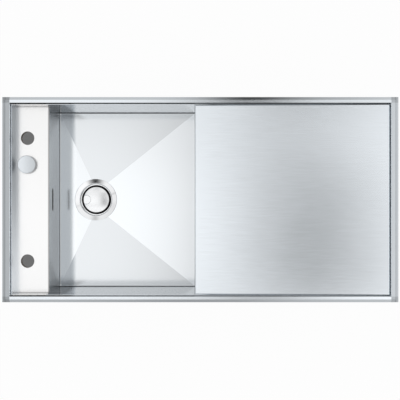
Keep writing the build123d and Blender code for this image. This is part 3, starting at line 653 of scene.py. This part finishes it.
@dataclass(frozen=True)
class Plywood(Finish):
    """Plywood: grain along the board on its faces, plies on its edges."""

    tones: Span = (0.62, 1.25)
    rough_parts: Parts = (0.85, 0.0, 0.3)
    depth: float = 0.12 * MM
    figure_repeats: Parts = (420.0, 12.0, 420.0)
    figure_detail: float = 4.0
    pore_repeats: Parts = (1800.0, 60.0, 1800.0)
    ply: float = 1.5 * MM
    ply_waver: float = 0.4
    figure_tone: float = 0.55
    figure_relief: float = 0.6

    def pattern(self, tree: ShaderTree) -> dict[str, Any]:
        """Stretched figure along Y, with the plies as bands of height.

        Args:
            tree: Tree of the material.

        Returns:
            Inputs of the surface shader.
        """
        figure = tree.noise(tree.stretched(self.figure_repeats), self.figure_detail)
        pores = tree.noise(tree.stretched(self.pore_repeats))
        bands = tree.node(
            "ShaderNodeTexWave",
            {"wave_type": "BANDS", "bands_direction": "Z"},
            {"Vector": tree.place(), "Scale": 0.5 / self.ply, "Distortion": self.ply_waver},
        )
        plies = Signal(tree, bands.outputs["Fac"])
        height = self.figure_relief * figure + (1 - self.figure_relief) * pores
        return {
            "Base Color": self.spread(tree, self.figure_tone * figure + (1 - self.figure_tone) * plies),
            "Roughness": self.rough(figure, pores),
            "Normal": tree.relief(height, self.depth, self.relief_share),
        }


WASTE_AXIS = tuple((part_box("waste_flange")[0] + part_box("waste_flange")[1]) / 2)
KNOB_AXIS = tuple((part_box("control_knob")[0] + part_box("control_knob")[1]) / 2)
KNOB_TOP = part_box("control_knob")[1].z

FAINT: Span = (0.98, 1.02)
SOFT: Span = (0.97, 1.03)
TURNED_DEPTH = 0.004 * MM
# Inner faces of the side bars in the gap, which the side bars' finishes paint lighter: painted light.
GAP_EDGE: Span = (481.3 * MM, 481.2 * MM)
WALL_MIDDLE = -10 * MM

# Painted shade on the side bars' ends and along the crease between their flat and their bevel.
BAR_SHADES = (
    Shade(Axis.Y, (244 * MM, 244.8 * MM), 0.78, mirrored=True),
    Line(Axis.X, (492.6 * MM, 1.2 * MM), 0.68, mirrored=True),
)
# The left side bar takes a darker base than the right one, both darker than the back and front bars: painted
# shade.
LEFT_BAR_STEEL = BrushedSteel(
    "left_bar_steel", steel(0.53), 0.42, grain=Grain.ALONG_Y,
    shades=(*BAR_SHADES, Shade(Axis.X, GAP_EDGE, 1.8, mirrored=True)),
)
RIGHT_BAR_STEEL = BrushedSteel(
    "right_bar_steel", steel(0.71), 0.42, grain=Grain.ALONG_Y,
    shades=(*BAR_SHADES, Shade(Axis.X, GAP_EDGE, 1.34, mirrored=True)),
)
BACK_BAR_STEEL = LongBarSteel("back_bar_steel", steel(0.9), 0.09, edge_tone=0.4)
FRONT_BAR_STEEL = LongBarSteel(
    "front_bar_steel", steel(0.9), 0.12, edge_tone=0.6, brow_tone=0.4, foot_tone=0.8
)
# Painted shade on the ledge's brink over the bowl and along its two ends.
LEDGE_STEEL = BrushedSteel(
    "satin_ledge_steel", (0.94, 0.94, 0.94), 0.24, grain=Grain.ALONG_Y, tones=FAINT,
    shades=(
        Shade(Axis.X, (-394.8 * MM, -393.8 * MM), 0.5),
        Shade(Axis.Y, (238.1 * MM, 239.6 * MM), 0.6, mirrored=True),
    ),
)
# The ledge's end pieces take a darker base than the ledge: painted shade.
LEDGE_END_STEEL = BrushedSteel("ledge_end_steel", (0.78, 0.78, 0.78), 0.24, tones=FAINT)
# Painted shade on the ledge wall: darker towards the back.
LEDGE_WALL_STEEL = GlancingSteel(
    "ledge_wall_steel", steel(0.86), 0.3, grain=Grain.ALONG_Y, edge_tone=0.9,
    painted_shade=Shade(Axis.Y, (-235 * MM, 85 * MM), 0.24),
)
FLOOR_STEEL = FallSteel("bowl_floor_steel", (0.90, 0.93, 0.955), 0.12, tones=SOFT)
# The walls take darker bases than the floor, the front wall darker than the back one: painted shade.
BACK_WALL_STEEL = GlancingSteel("back_wall_steel", steel(0.83), 0.14, tones=SOFT, edge_tone=0.85)
FRONT_WALL_STEEL = GlancingSteel("front_wall_steel", steel(0.75), 0.16, tones=SOFT, edge_tone=0.85)
# Painted shade at both ends of the right and left walls.
SIDE_WALL_STEEL = GlancingSteel(
    "bowl_side_steel", steel(0.75), 0.3, grain=Grain.ALONG_Y, tones=SOFT, edge_tone=0.7,
    painted_shade=Shade(Axis.Y, (170 * MM, 255 * MM), 0.36, mirrored=True, middle=WALL_MIDDLE),
)
LEFT_WALL_STEEL = SlotWallSteel(
    "bowl_left_steel", steel(0.75), 0.22, grain=Grain.ALONG_Y, tones=SOFT, edge_tone=0.72,
    painted_shade=Shade(Axis.Y, (195 * MM, 255 * MM), 0.5, mirrored=True, middle=WALL_MIDDLE),
)
DRAINER_STEEL = StreakedSteel("brushed_drainer_steel", steel(0.91), 0.15)
PRESSED_STEEL = BrushedSteel("pressed_steel", steel(0.56), 0.36)
POLISHED_STEEL = BrushedSteel(
    "polished_waste_steel", (0.87, 0.88, 0.89), 0.08, grain=Grain.TURNED, tones=FAINT, depth=TURNED_DEPTH,
    axis=WASTE_AXIS,
)
CAP_STEEL = CapSteel(
    "polished_cap_steel", (0.89, 0.90, 0.91), 0.17, grain=Grain.TURNED, tones=FAINT, depth=TURNED_DEPTH,
    axis=WASTE_AXIS,
)
# Painted light and shade: the knob's face lighter at its left and darker at its right, and its side darker.
KNOB_STEEL = BrushedSteel(
    "turned_knob_steel", steel(0.8208), 0.24, grain=Grain.TURNED, line=0.5 * MM, axis=KNOB_AXIS,
    shades=(
        Shade(Axis.X, (-23 * MM, 23 * MM), 0.7368421, middle=KNOB_AXIS[0]),
        Shade(Axis.Z, (-0.4 * MM, -1.6 * MM), 0.3, middle=KNOB_TOP),
    ),
)
ZINC = PlatedMetal("zinc_plate", (0.58, 0.60, 0.62), 0.34)
BRASS = PlatedMetal("machined_brass", (0.70, 0.52, 0.24), 0.28, spangle=1.5 * MM)
RUBBER = Moulding("black_rubber", (0.012, 0.012, 0.013), 0.7, gloss=0.12)
BLACK_PLASTIC = Moulding("black_plastic", (0.035, 0.036, 0.038), 0.42)
PIPE_PLASTIC = Moulding("grey_pipe_plastic", (0.52, 0.53, 0.54), 0.38)
NYLON = Moulding("white_nylon", (0.78, 0.77, 0.73), 0.44)
BITUMEN = Moulding("bitumen_pad", (0.075, 0.074, 0.074), 0.8, grain=1.4 * MM, depth=0.15 * MM)
PLYWOOD = Plywood("stained_plywood", (0.17, 0.14, 0.11), 0.5)


class PieceTree(NodeTree):
    """Geometry node tree with named inputs, run over a set of points to make a plain mesh."""

    def __init__(self, name: str) -> None:
        """Start a tree that takes points and gives geometry back.

        Args:
            name: Name of the tree.
        """
        super().__init__(bpy.data.node_groups.new(name, "GeometryNodeTree"))
        for side in ("INPUT", "OUTPUT"):
            self.tree.interface.new_socket("Geometry", in_out=side, socket_type="NodeSocketGeometry")
        self.entry = self.node("NodeGroupInput", {}, {})

    def ask(self, name: str, kind: str = "NodeSocketFloat") -> Socket:
        """Add an input that run() sets by its name, and give the socket that carries its value."""
        self.tree.interface.new_socket(name, in_out="INPUT", socket_type=kind)
        return self.entry.outputs[name]

    def repeat(self, shape: Socket) -> Socket:
        """Copy a shape to each point, with its Z along the point's own direction.

        Args:
            shape: Geometry to copy.

        Returns:
            The copies.
        """
        facing = self.node(
            "GeometryNodeInputNamedAttribute", {"data_type": "FLOAT_VECTOR"}, {"Name": "facing"}
        )
        turn = self.node("FunctionNodeAlignRotationToVector", {"axis": "Z"}, {"Vector": facing.outputs[0]})
        copies = self.node(
            "GeometryNodeInstanceOnPoints",
            {},
            {"Points": self.entry.outputs[0], "Instance": shape, "Rotation": turn.outputs[0]},
        )
        return copies.outputs[0]

    def close(self, geometry: Socket, smooth: bool) -> None:
        """End the tree: real geometry, its shading and its material.

        Args:
            geometry: What the tree has made.
            smooth: True where faces shade as one curved surface.
        """
        real = self.node("GeometryNodeRealizeInstances", {}, {0: geometry}).outputs[0]
        even = self.node("GeometryNodeSetShadeSmooth", {}, {"Geometry": real, "Shade Smooth": smooth})
        finish = self.ask("Finish", "NodeSocketMaterial")
        dressed = self.node("GeometryNodeSetMaterial", {}, {"Geometry": even.outputs[0], "Material": finish})
        self.node("NodeGroupOutput", {}, {0: dressed.outputs[0]})

    def run(
        self,
        name: str,
        places: Sequence[tuple[Vector, Vector]],
        values: dict[str, Any],
        body: str,
        slot: str,
    ) -> bpy.types.Object:
        """Make one piece.

        Args:
            name: Name of the piece.
            places: Point and direction of each copy.
            values: Value of each named input.
            body: Body that carries the piece.
            slot: Material slot of the record; not used.

        Returns:
            The piece, a plain mesh in place.
        """
        start = bpy.data.meshes.new(name + "_points")
        start.from_pydata([point for point, _ in places], [], [])
        facing = start.attributes.new("facing", "FLOAT_VECTOR", "POINT")
        facing.data.foreach_set("vector", [number for _, way in places for number in way])
        made = bpy.data.objects.new(name, start)
        bpy.context.scene.collection.objects.link(made)
        modifier = made.modifiers.new("build", "NODES")
        modifier.node_group = self.tree
        for item in self.tree.interface.items_tree:
            if item.in_out == "INPUT" and item.name in values:
                modifier[item.identifier] = values[item.name]
        graph = bpy.context.evaluated_depsgraph_get()
        plain = bpy.data.meshes.new_from_object(made.evaluated_get(graph), depsgraph=graph)
        made.modifiers.clear()
        made.data = plain
        bpy.data.meshes.remove(start)
        plain.name = name
        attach(made, body)
        log.info("%s: %d copies, %d faces on %s", name, len(places), len(plain.polygons), body)
        return made


UP = Vector((0, 0, 1))
DOWN = Vector((0, 0, -1))
LEFTWARD = Vector((-1, 0, 0))
PROBE = 100 * MM  # Distance at which a line that feels for a surface starts.
NEAR_PROBE = 50 * MM  # The same beside pieces that stand close together.
ROUND_SIDES = 10  # Sides of a small round piece.
RIDGE_SIDES = 4  # Sides of a thread's ridge.
SAME_POINT = 0.01 * MM  # Corners that lie closer than this are one.
SORT_DIGITS = 4  # Decimals of a metre by which solids are put in order.


def stud_tree() -> PieceTree:
    """Low round studs: spot welds and the embossed pips of damping pads.

    Returns:
        The tree, with inputs Base, Crown and Rise.
    """
    tree = PieceTree("studs")
    base, crown, rise = tree.ask("Base"), tree.ask("Crown"), tree.ask("Rise")
    cone = tree.node(
        "GeometryNodeMeshCone",
        {"fill_type": "NGON"},
        {"Vertices": ROUND_SIDES, "Radius Top": crown, "Radius Bottom": base, "Depth": rise},
    )
    tree.close(tree.repeat(cone.outputs["Mesh"]), smooth=False)
    return tree


def thread_tree() -> PieceTree:
    """Screw thread: a ridge wound round an axis.

    Returns:
        The tree, with inputs Radius, Length, Turns, Ridge and Steps.
    """
    tree = PieceTree("threads")
    radius, length = tree.ask("Radius"), tree.ask("Length")
    turns, ridge = tree.ask("Turns"), tree.ask("Ridge")
    steps = tree.ask("Steps", "NodeSocketInt")
    radii = {"Start Radius": radius, "End Radius": radius}
    helix = tree.node(
        "GeometryNodeCurveSpiral", {}, {"Resolution": steps, "Rotations": turns, **radii, "Height": length}
    )
    profile = tree.node("GeometryNodeCurvePrimitiveCircle", {}, {"Resolution": RIDGE_SIDES, "Radius": ridge})
    wound = tree.node(
        "GeometryNodeCurveToMesh",
        {},
        {"Curve": helix.outputs[0], "Profile Curve": profile.outputs[0], "Fill Caps": True},
    )
    tree.close(tree.repeat(wound.outputs[0]), smooth=False)
    return tree


def rib_tree() -> PieceTree:
    """Rounded grip ribs that stand on a curved wall.

    Returns:
        The tree, with inputs Radius and Length.
    """
    tree = PieceTree("ribs")
    radius, length = tree.ask("Radius"), tree.ask("Length")
    bar = tree.node(
        "GeometryNodeMeshCylinder",
        {"fill_type": "NGON"},
        {"Vertices": ROUND_SIDES, "Radius": radius, "Depth": length},
    )
    tree.close(tree.repeat(bar.outputs["Mesh"]), smooth=False)
    return tree


@dataclass(frozen=True)
class Thread:
    """Screw thread: its pitch, its ridge, its turns and the steps in each turn."""

    pitch: float
    ridge: float
    turns: int
    steps: int

    def length(self) -> float:
        """Length of the whole thread."""
        return self.turns * self.pitch

    def values(self, radius: float, finish: Finish) -> dict[str, Any]:
        """Inputs of the thread tree.

        Args:
            radius: Radius of the shank.
            finish: Surface of the thread.

        Returns:
            Value of each named input.
        """
        return {
            "Radius": radius,
            "Length": self.length(),
            "Turns": float(self.turns),
            "Ridge": self.ridge,
            "Steps": self.steps,
            "Finish": finish.material(),
        }


def islands(node: str) -> list[tuple[Vector, Vector]]:
    """Boxes of a node's separate solids.

    Args:
        node: Name of the node.

    Returns:
        Lowest and highest corner of each solid, from left to right.
    """
    shape = bmesh.new()
    shape.from_mesh(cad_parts[node].data)
    bmesh.ops.remove_doubles(shape, verts=shape.verts, dist=SAME_POINT)
    waiting, boxes = set(shape.verts), []
    while waiting:
        group, edge = set(), [waiting.pop()]
        while edge:
            vert = edge.pop()
            group.add(vert)
            for link in vert.link_edges:
                other = link.other_vert(vert)
                if other in waiting:
                    waiting.remove(other)
                    edge.append(other)
        corners = list(zip(*(v.co for v in group)))
        boxes.append((Vector(map(min, corners)), Vector(map(max, corners))))
    shape.free()
    return sorted(boxes, key=lambda box: tuple(round(c, SORT_DIGITS) for c in box[0]))


def seat(node: str, start: Vector, way: Vector) -> tuple[Vector, Vector] | None:
    """Point where a line first meets a node and the surface's direction there, or None if it passes by."""
    hit, point, facing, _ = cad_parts[node].ray_cast(start, way)
    return (point, facing) if hit else None


def dress(nodes: Iterable[str], finish: Finish) -> None:
    """Give nodes a finish.

    Args:
        nodes: Names of the nodes.
        finish: Their surface.
    """
    for name in nodes:
        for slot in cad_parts[name].material_slots:
            slot.material = finish.material()
        log.info("%s: %s", name, finish.name)


@dataclass
class Rim:
    """Flat frame that lies on the worktop: four mitred bars and the gasket under them."""

    def build(self) -> None:
        """Brush each bar along its length and give the gasket its rubber."""
        dress(["rim_left_bar"], LEFT_BAR_STEEL)
        dress(["rim_right_bar"], RIGHT_BAR_STEEL)
        dress(["rim_back_bar"], BACK_BAR_STEEL)
        dress(["rim_front_bar"], FRONT_BAR_STEEL)
        dress(["rim_gasket"], RUBBER)


@dataclass
class TapLedge:
    """Sunk ledge with the tap holes, and the board that stiffens it."""

    def build(self) -> None:
        """Dress the sheets and the board."""
        dress(["tap_ledge"], LEDGE_STEEL)
        dress(["ledge_back_end", "ledge_front_end"], LEDGE_END_STEEL)
        dress(["ledge_left_wall"], LEDGE_WALL_STEEL)
        dress(["tap_backing_board"], PLYWOOD)


@dataclass
class DampingPads:
    """Heavy pads with embossed pips, stuck to the hidden side of the steel."""

    node: str
    pitch: float = 14 * MM
    margin: float = 8 * MM
    base: float = 3.2 * MM
    crown: float = 1.6 * MM
    rise: float = 1.2 * MM
    square_on: float = 0.9

    def build(self, studs: PieceTree) -> None:
        """Dress the pads and raise the pips on their outer faces.

        Args:
            studs: Tree that makes the pips.
        """
        dress([self.node], BITUMEN)
        places = [place for box in islands(self.node) for place in self.rows(box)]
        values = {"Base": self.base, "Crown": self.crown, "Rise": self.rise, "Finish": BITUMEN.material()}
        studs.run(self.node + "_pips", places, values, "sink", "damping_pad")

    def rows(self, box: tuple[Vector, Vector]) -> list[tuple[Vector, Vector]]:
        """Places of the pips on one pad.

        Args:
            box: Corners of the pad.

        Returns:
            Point and outward direction of each pip.
        """
        low, high = box
        size = high - low
        thin = min(range(3), key=lambda axis: size[axis])
        out = Vector((0, 0, 0))
        middle = (low + high) / 2
        # A level pad faces down, and an upright one faces away from the middle of the bowl.
        inner = WASTE_AXIS[0] if thin == 0 else 0.0
        out[thin] = -1.0 if thin == 2 else math.copysign(1.0, middle[thin] - inner)
        first, second = [axis for axis in range(3) if axis != thin]
        places = []
        for along in self.steps(low[first], high[first]):
            for across in self.steps(low[second], high[second]):
                start = middle.copy()
                start[first], start[second] = along, across
                found = seat(self.node, start + out * PROBE, -out)
                if found and found[1].dot(out) > self.square_on:
                    places.append((found[0], out))
        return places

    def steps(self, low: float, high: float) -> list[float]:
        """Even steps of about the pitch between two margins.

        Args:
            low: One edge of the pad.
            high: The edge across from it.

        Returns:
            Place of each step.
        """
        inside = high - low - 2 * self.margin
        count = max(1, round(inside / self.pitch))
        return [low + self.margin + inside * i / count for i in range(count + 1)]


@dataclass
class Bowl:
    """Welded bowl: four walls and a floor of four falls."""

    def build(self, studs: PieceTree) -> None:
        """Dress walls, floor and pads.

        Args:
            studs: Tree that makes the pips of the pads.
        """
        dress(["bowl_left_wall"], LEFT_WALL_STEEL)
        dress(["bowl_right_wall"], SIDE_WALL_STEEL)
        dress(["bowl_back_wall"], BACK_WALL_STEEL)
        dress(["bowl_front_wall"], FRONT_WALL_STEEL)
        dress(["bowl_floor"], FLOOR_STEEL)
        DampingPads("bowl_damping_pads").build(studs)


@dataclass
class Drainer:
    """Plain drainer panel with two stiffeners welded under it."""

    weld_pitch: float = 45 * MM
    weld_radius: float = 3 * MM
    crown_share: float = 0.8
    weld_rise: float = 0.5 * MM
    foot_inset: float = 7 * MM

    def build(self, studs: PieceTree) -> None:
        """Dress the panel, the stiffeners and the pads, and mark the spot welds.

        Args:
            studs: Tree that makes welds and pips.
        """
        dress(["drainer_panel"], DRAINER_STEEL)
        dress(["drainer_stiffeners"], PRESSED_STEEL)
        DampingPads("drainer_damping_pads").build(studs)
        values = {
            "Base": self.weld_radius,
            "Crown": self.crown_share * self.weld_radius,
            "Rise": self.weld_rise,
            "Finish": PRESSED_STEEL.material(),
        }
        studs.run("stiffener_spot_welds", self.welds(), values, "sink", "drainer_steel")

    def welds(self) -> list[tuple[Vector, Vector]]:
        """Places of the spot welds along both feet of each stiffener.

        Returns:
            Point and direction of each weld.
        """
        places = []
        for low, high in islands("drainer_stiffeners"):
            count = round((high.x - low.x) / self.weld_pitch)
            for y in (low.y + self.foot_inset, high.y - self.foot_inset):
                for i in range(count):
                    x = low.x + (high.x - low.x) * (i + 0.5) / count
                    found = seat("drainer_stiffeners", Vector((x, y, low.z - NEAR_PROBE)), UP)
                    if found:
                        places.append((found[0], DOWN))
        return places


@dataclass
class Waste:
    """Waste with its seals, lock nut, body and the strainer that stands in it."""

    thread: Thread = Thread(pitch=2.3 * MM, ridge=0.7 * MM, turns=7, steps=48)
    thread_foot: float = 2 * MM
    rib_radius: float = 1.6 * MM
    rib_count: int = 72
    rib_sunk: float = 0.8 * MM
    rib_share: float = 0.8
    notch_depth: float = 0.5 * MM

    def build(self, threads: PieceTree, ribs: PieceTree) -> None:
        """Dress the waste, wind the outlet's thread and set the nut's grip ribs.

        Args:
            threads: Tree that winds threads.
            ribs: Tree that makes grip ribs.
        """
        dress(["waste_flange", "strainer_basket"], POLISHED_STEEL)
        dress(["strainer_cap"], CAP_STEEL)
        dress(["flange_seal", "lower_seal", "body_seal", "basket_seal"], RUBBER)
        dress(["waste_body", "lock_nut", "lever_cover"], BLACK_PLASTIC)
        dress(["rocker_lever"], NYLON)
        dress(["cap_screw", "lifter_pin", "rocker_pivot"], ZINC)
        dress(["waste_cable_gland"], BRASS)
        self.wind(threads)
        self.grip(ribs)

    def wind(self, threads: PieceTree) -> None:
        """Wind the outlet's thread up from its foot.

        Args:
            threads: Tree that winds threads.
        """
        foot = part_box("waste_body")[0].z
        start = Vector((WASTE_AXIS[0], WASTE_AXIS[1], foot + self.thread_foot))
        side = seat("waste_body", start - LEFTWARD * PROBE, LEFTWARD)
        values = self.thread.values(side[0].x - WASTE_AXIS[0], BLACK_PLASTIC)
        threads.run("outlet_thread", [(start, UP)], values, "sink", "waste_plastic")

    def grip(self, ribs: PieceTree) -> None:
        """Set ribs round the lock nut, except over its spanner notches.

        Args:
            ribs: Tree that makes grip ribs.
        """
        low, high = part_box("lock_nut")
        axis = Vector((WASTE_AXIS[0], WASTE_AXIS[1], (low.z + high.z) / 2))
        least = (high.x - low.x) / 2 - self.notch_depth
        places = []
        for i in range(self.rib_count):
            angle = 2 * math.pi * i / self.rib_count
            way = Vector((math.cos(angle), math.sin(angle), 0))
            found = seat("lock_nut", axis + way * PROBE, -way)
            if found and (found[0] - axis).length > least:
                places.append((found[0] - way * self.rib_sunk, UP))
        values = {
            "Radius": self.rib_radius,
            "Length": (high.z - low.z) * self.rib_share,
            "Finish": BLACK_PLASTIC.material(),
        }
        ribs.run("lock_nut_grip", places, values, "sink", "waste_plastic")


@dataclass
class ControlDrive:
    """Knob on the ledge and the spindle, bush and cable box under it."""

    def build(self) -> None:
        """Dress every piece of the drive."""
        dress(["control_knob"], KNOB_STEEL)
        dress(["knob_grub_screw", "knob_spindle", "knob_washer", "spindle_circlip"], ZINC)
        dress(["knob_bush", "knob_nut", "knob_cable_gland"], BRASS)
        dress(["cable_box"], BLACK_PLASTIC)
        dress(["cable_drum"], NYLON)


@dataclass
class Overflow:
    """Overflow box behind the bowl's slot and the pipe down to the waste."""

    def build(self) -> None:
        """Dress the box, its seal, the pipe and its nuts."""
        dress(["overflow_body", "overflow_nuts"], BLACK_PLASTIC)
        dress(["overflow_seal"], RUBBER)
        dress(["overflow_pipe"], PIPE_PLASTIC)


@dataclass
class Clips:
    """Worktop clips: bent brackets, screws and rubber pads, and the earth tag."""

    thread: Thread = Thread(pitch=1.0 * MM, ridge=0.3 * MM, turns=12, steps=14)
    thread_gap: float = 1 * MM
    shank_drop: float = 2 * MM

    def build(self, threads: PieceTree) -> None:
        """Dress the clips and wind the screws' threads.

        Args:
            threads: Tree that winds threads.
        """
        dress(["clip_brackets", "clip_screws", "earth_tag"], ZINC)
        dress(["clip_pads"], RUBBER)
        self.wind(threads)

    def wind(self, threads: PieceTree) -> None:
        """Wind a thread round each screw's shank.

        Args:
            threads: Tree that winds threads.
        """
        screws = islands("clip_screws")
        low, high = screws[0]
        middle = (low + high) / 2
        start = Vector((middle.x + NEAR_PROBE, middle.y, high.z - self.shank_drop))
        side = seat("clip_screws", start, LEFTWARD)
        places = []
        for low, high in screws:
            centre = (low + high) / 2
            centre.z = high.z - self.thread_gap - self.thread.length()
            places.append((centre, UP))
        values = self.thread.values(side[0].x - middle.x, ZINC)
        threads.run("clip_screw_threads", places, values, "sink", "zinc_steel")


@dataclass(frozen=True)
class Screen:
    """Soft dark screen in the sky: a hump across it and a band along it."""

    depth: float
    middle: float
    width: float
    reach: Four

    def shade(self, across: Signal, along: Signal, more: Any = 0.0) -> Signal:
        """Share of the light that it takes in its band, and in any more of the sky that joins the band."""
        return self.depth * across.bell(self.middle, self.width) * (along.band(*self.reach) + more)


@dataclass
class Studio:
    """Pale floor, soft sky and the camera above the sink.

    The shadow's spans are metres on the floor, and the rises are heights of a direction in the sky. Screens and
    other spans are slopes from straight up, as level sheets mirror them, or parts of the direction for bars.
    """

    camera_height: float = 1.906
    camera_offset: Span = (-0.0009, -0.0009)
    lens: float = 67.885
    sensor: float = 36.0
    floor_gap: float = 1 * MM
    floor_size: float = 40.0
    floor_glow: float = 0.95
    floor_tone: float = 0.9
    shadow_tone: float = 0.28
    shadow_left: Span = (0.525, 0.577)
    shadow_right: Span = (0.2, 0.577)
    shadow_crisp: Span = (0.21, 0.298)
    shadow_soft: Span = (0.0, 0.298)
    shadow_change: Span = (-0.42, -0.25)
    horizon: float = 0.35
    right_gain: float = 0.2
    back_gain: float = 0.3
    gain_turn: Span = (-0.3, 0.3)
    zenith: float = 1.12
    mid_sky: float = 0.85
    low_sky: float = 0.92
    least_rise: float = 0.02
    low_rise: Span = (0.24, 0.34)
    mid_rise: Span = (0.4, 0.7)
    high_rise: Span = (0.8, 0.93)
    bevel_sight: Span = (0.6, 0.8)
    strip: Screen = Screen(1.0, 0.078, 0.103, (-0.2, -0.14, 0.14, 0.26))
    strip_lean: float = 0.05
    lean_span: Span = (0.0, 0.125)
    strip_depths: Parts = (0.22, 0.41, 0.1)
    middle_span: Span = (-0.14, 0.0)
    front_span: Span = (-0.02, 0.12)
    front_bar: Four = (0.127, 0.131, 0.15, 0.17)
    front_bar_lift: float = 0.42
    front_bar_left: float = 0.32
    left_span: Span = (-0.06, 0.01)
    bar_core: Screen = Screen(0.95, 0.066, 0.055, (0.112, 0.127, 0.14, 0.16))
    bar_side: Screen = Screen(0.42, 0.125, 0.125, (0.12, 0.13, 0.14, 0.16))
    bevel_dark: float = 0.28
    bevel_hump: Span = (0.015, 0.1)
    bevel_bright: float = 0.3
    bevel_left: Span = (0.05, 0.22)
    front_flag: Screen = Screen(0.96, -0.138, 0.17, (0.355, 0.4, 0.6, 0.8))
    back_flag: Screen = Screen(0.35, -0.13, 0.08, (0.2, 0.3, 0.5, 0.7))
    back_shade: float = 0.12
    back_span: Span = (0.0, 0.14)

    def build(self) -> None:
        """Set up the floor, the world and the camera."""
        bpy.context.scene.view_settings.view_transform = "Standard"
        self.lay_floor()
        self.light()
        self.aim()

    def lay_floor(self) -> None:
        """Lay a plain pale floor under the sink."""
        height = CAD_BOX[0].z - self.floor_gap
        half = self.floor_size / 2
        mesh = bpy.data.meshes.new("floor")
        mesh.from_pydata(
            [(-half, -half, height), (half, -half, height), (half, half, height), (-half, half, height)],
            [],
            [(0, 1, 2, 3)],
        )
        floor = bpy.data.objects.new("floor", mesh)
        bpy.context.scene.collection.objects.link(floor)
        mesh.materials.append(self.floor_finish())

    def floor_finish(self) -> bpy.types.Material:
        """Matt white with a painted shadow under the sink, and plain white where it is seen or mirrored outside
        it.

        Returns:
            The material.
        """
        made = bpy.data.materials.new("pale_floor")
        made.use_nodes = True
        tree = ShaderTree(made.node_tree)
        x, y, _ = tree.axes()
        across = (-1.0 * x).ramp(*self.shadow_left) + x.ramp(*self.shadow_right)
        crisp, soft = y.size().ramp(*self.shadow_crisp), y.size().ramp(*self.shadow_soft)
        along = crisp + (soft - crisp) * x.ramp(*self.shadow_change)
        outside = across.math("MAXIMUM", across, along)
        path = tree.node("ShaderNodeLightPath", {}, {})
        seen = Signal(tree, path.outputs["Is Camera Ray"])
        for name in ("Is Glossy Ray", "Is Transmission Ray"):
            seen = seen.math("MAXIMUM", seen, Signal(tree, path.outputs[name]))
        # Painted shadow: a darker tone under the sink.
        tone = self.shadow_tone + (self.floor_tone - self.shadow_tone) * outside
        matt = tree.node("ShaderNodeBsdfDiffuse", {}, {"Color": tone})
        glow = tree.node("ShaderNodeEmission", {}, {"Color": grey(1.0), "Strength": 1.0})
        mixed = tree.node(
            "ShaderNodeMixShader",
            {},
            {0: self.floor_glow * seen * outside, 1: matt.outputs[0], 2: glow.outputs[0]},
        )
        clear = tree.node("ShaderNodeBsdfTransparent", {}, {})
        under = tree.node("ShaderNodeNewGeometry", {}, {}).outputs["Backfacing"]
        sided = tree.node("ShaderNodeMixShader", {}, {0: under, 1: mixed.outputs[0], 2: clear.outputs[0]})
        tree.node("ShaderNodeOutputMaterial", {}, {"Surface": sided.outputs[0]})
        return made

    def light(self) -> None:
        """Make the sky: bright overhead, greyer to the horizon, with dark screens, plain white to the eye."""
        world = bpy.data.worlds.new("studio")
        bpy.context.scene.world = world
        world.use_nodes = True
        tree = ShaderTree(world.node_tree)
        way = tree.node("ShaderNodeTexCoord", {}, {}).outputs["Generated"]
        parts = tree.node("ShaderNodeSeparateXYZ", {}, {0: way})
        x, y, z = (Signal(tree, socket) for socket in parts.outputs)
        right, back = x.ramp(*self.gain_turn), y.ramp(*self.gain_turn)
        horizon = self.horizon + self.right_gain * right + self.back_gain * back
        level = horizon + (self.mid_sky - horizon) * z.ramp(*self.mid_rise)
        level = level + (self.zenith - self.mid_sky) * z.ramp(*self.high_rise)
        for shade in self.screens(x, y, z.math("MAXIMUM", z, self.least_rise)):
            level = level * (1 - shade)
        level = level + (self.low_sky - level) * (1 - z.ramp(*self.low_rise))
        seen = Signal(tree, tree.node("ShaderNodeLightPath", {}, {}).outputs["Is Camera Ray"])
        level = level + (1 - level) * seen
        sky = tree.node("ShaderNodeBackground", {}, {"Color": grey(1.0), "Strength": level})
        tree.node("ShaderNodeOutputWorld", {}, {"Surface": sky.outputs[0]})

    def screens(self, x: Signal, y: Signal, rise: Signal) -> list[Signal]:
        """Dark screens that the sheets mirror.

        Args:
            x: Part of the direction to the right.
            y: Part of the direction to the back.
            rise: Part of the direction upwards.

        Returns:
            Share of the light that each screen takes.
        """
        right, back = x / rise, y / rise
        front = -1.0 * back
        far_back, far_front = y.ramp(*self.bevel_sight), (-1.0 * y).ramp(*self.bevel_sight)
        on_bar = front.band(*self.front_bar)
        least, in_middle, in_front = self.strip_depths
        depth = least + in_middle * front.ramp(*self.middle_span) + in_front * front.ramp(*self.front_span)
        strip = depth * self.strip.shade(right + self.strip_lean * back.ramp(*self.lean_span), back)
        bright_bevel = self.bevel_bright * (-1.0 * x).ramp(*self.bevel_left)
        return [
            strip * (1 - self.front_bar_lift * on_bar),
            self.front_bar_left * on_bar * (1 - right.ramp(*self.left_span)),
            self.bar_core.shade(x, back, far_back),
            self.bar_side.shade(x, back, far_back),
            far_front * (self.bevel_dark * x.bell(*self.bevel_hump) - bright_bevel),
            self.front_flag.shade(right, front),
            self.back_flag.shade(right, back),
            self.back_shade * back.ramp(*self.back_span),
        ]

    def aim(self) -> None:
        """Place the camera straight above the sink."""
        lens = bpy.data.cameras.new("overhead")
        lens.sensor_width = self.sensor
        lens.lens = self.lens
        camera = bpy.data.objects.new("overhead", lens)
        camera.location = (*self.camera_offset, self.camera_height)
        bpy.context.scene.collection.objects.link(camera)
        bpy.context.scene.camera = camera


def main() -> None:
    """Build and dress the sink, then light it."""
    logging.basicConfig(level=logging.INFO, format="%(message)s")
    studs, threads, ribs = stud_tree(), thread_tree(), rib_tree()
    Rim().build()
    TapLedge().build()
    Bowl().build(studs)
    Drainer().build(studs)
    Waste().build(threads, ribs)
    ControlDrive().build()
    Overflow().build()
    Clips().build(threads)
    Studio().build()


if __name__ == "__main__":
    main()
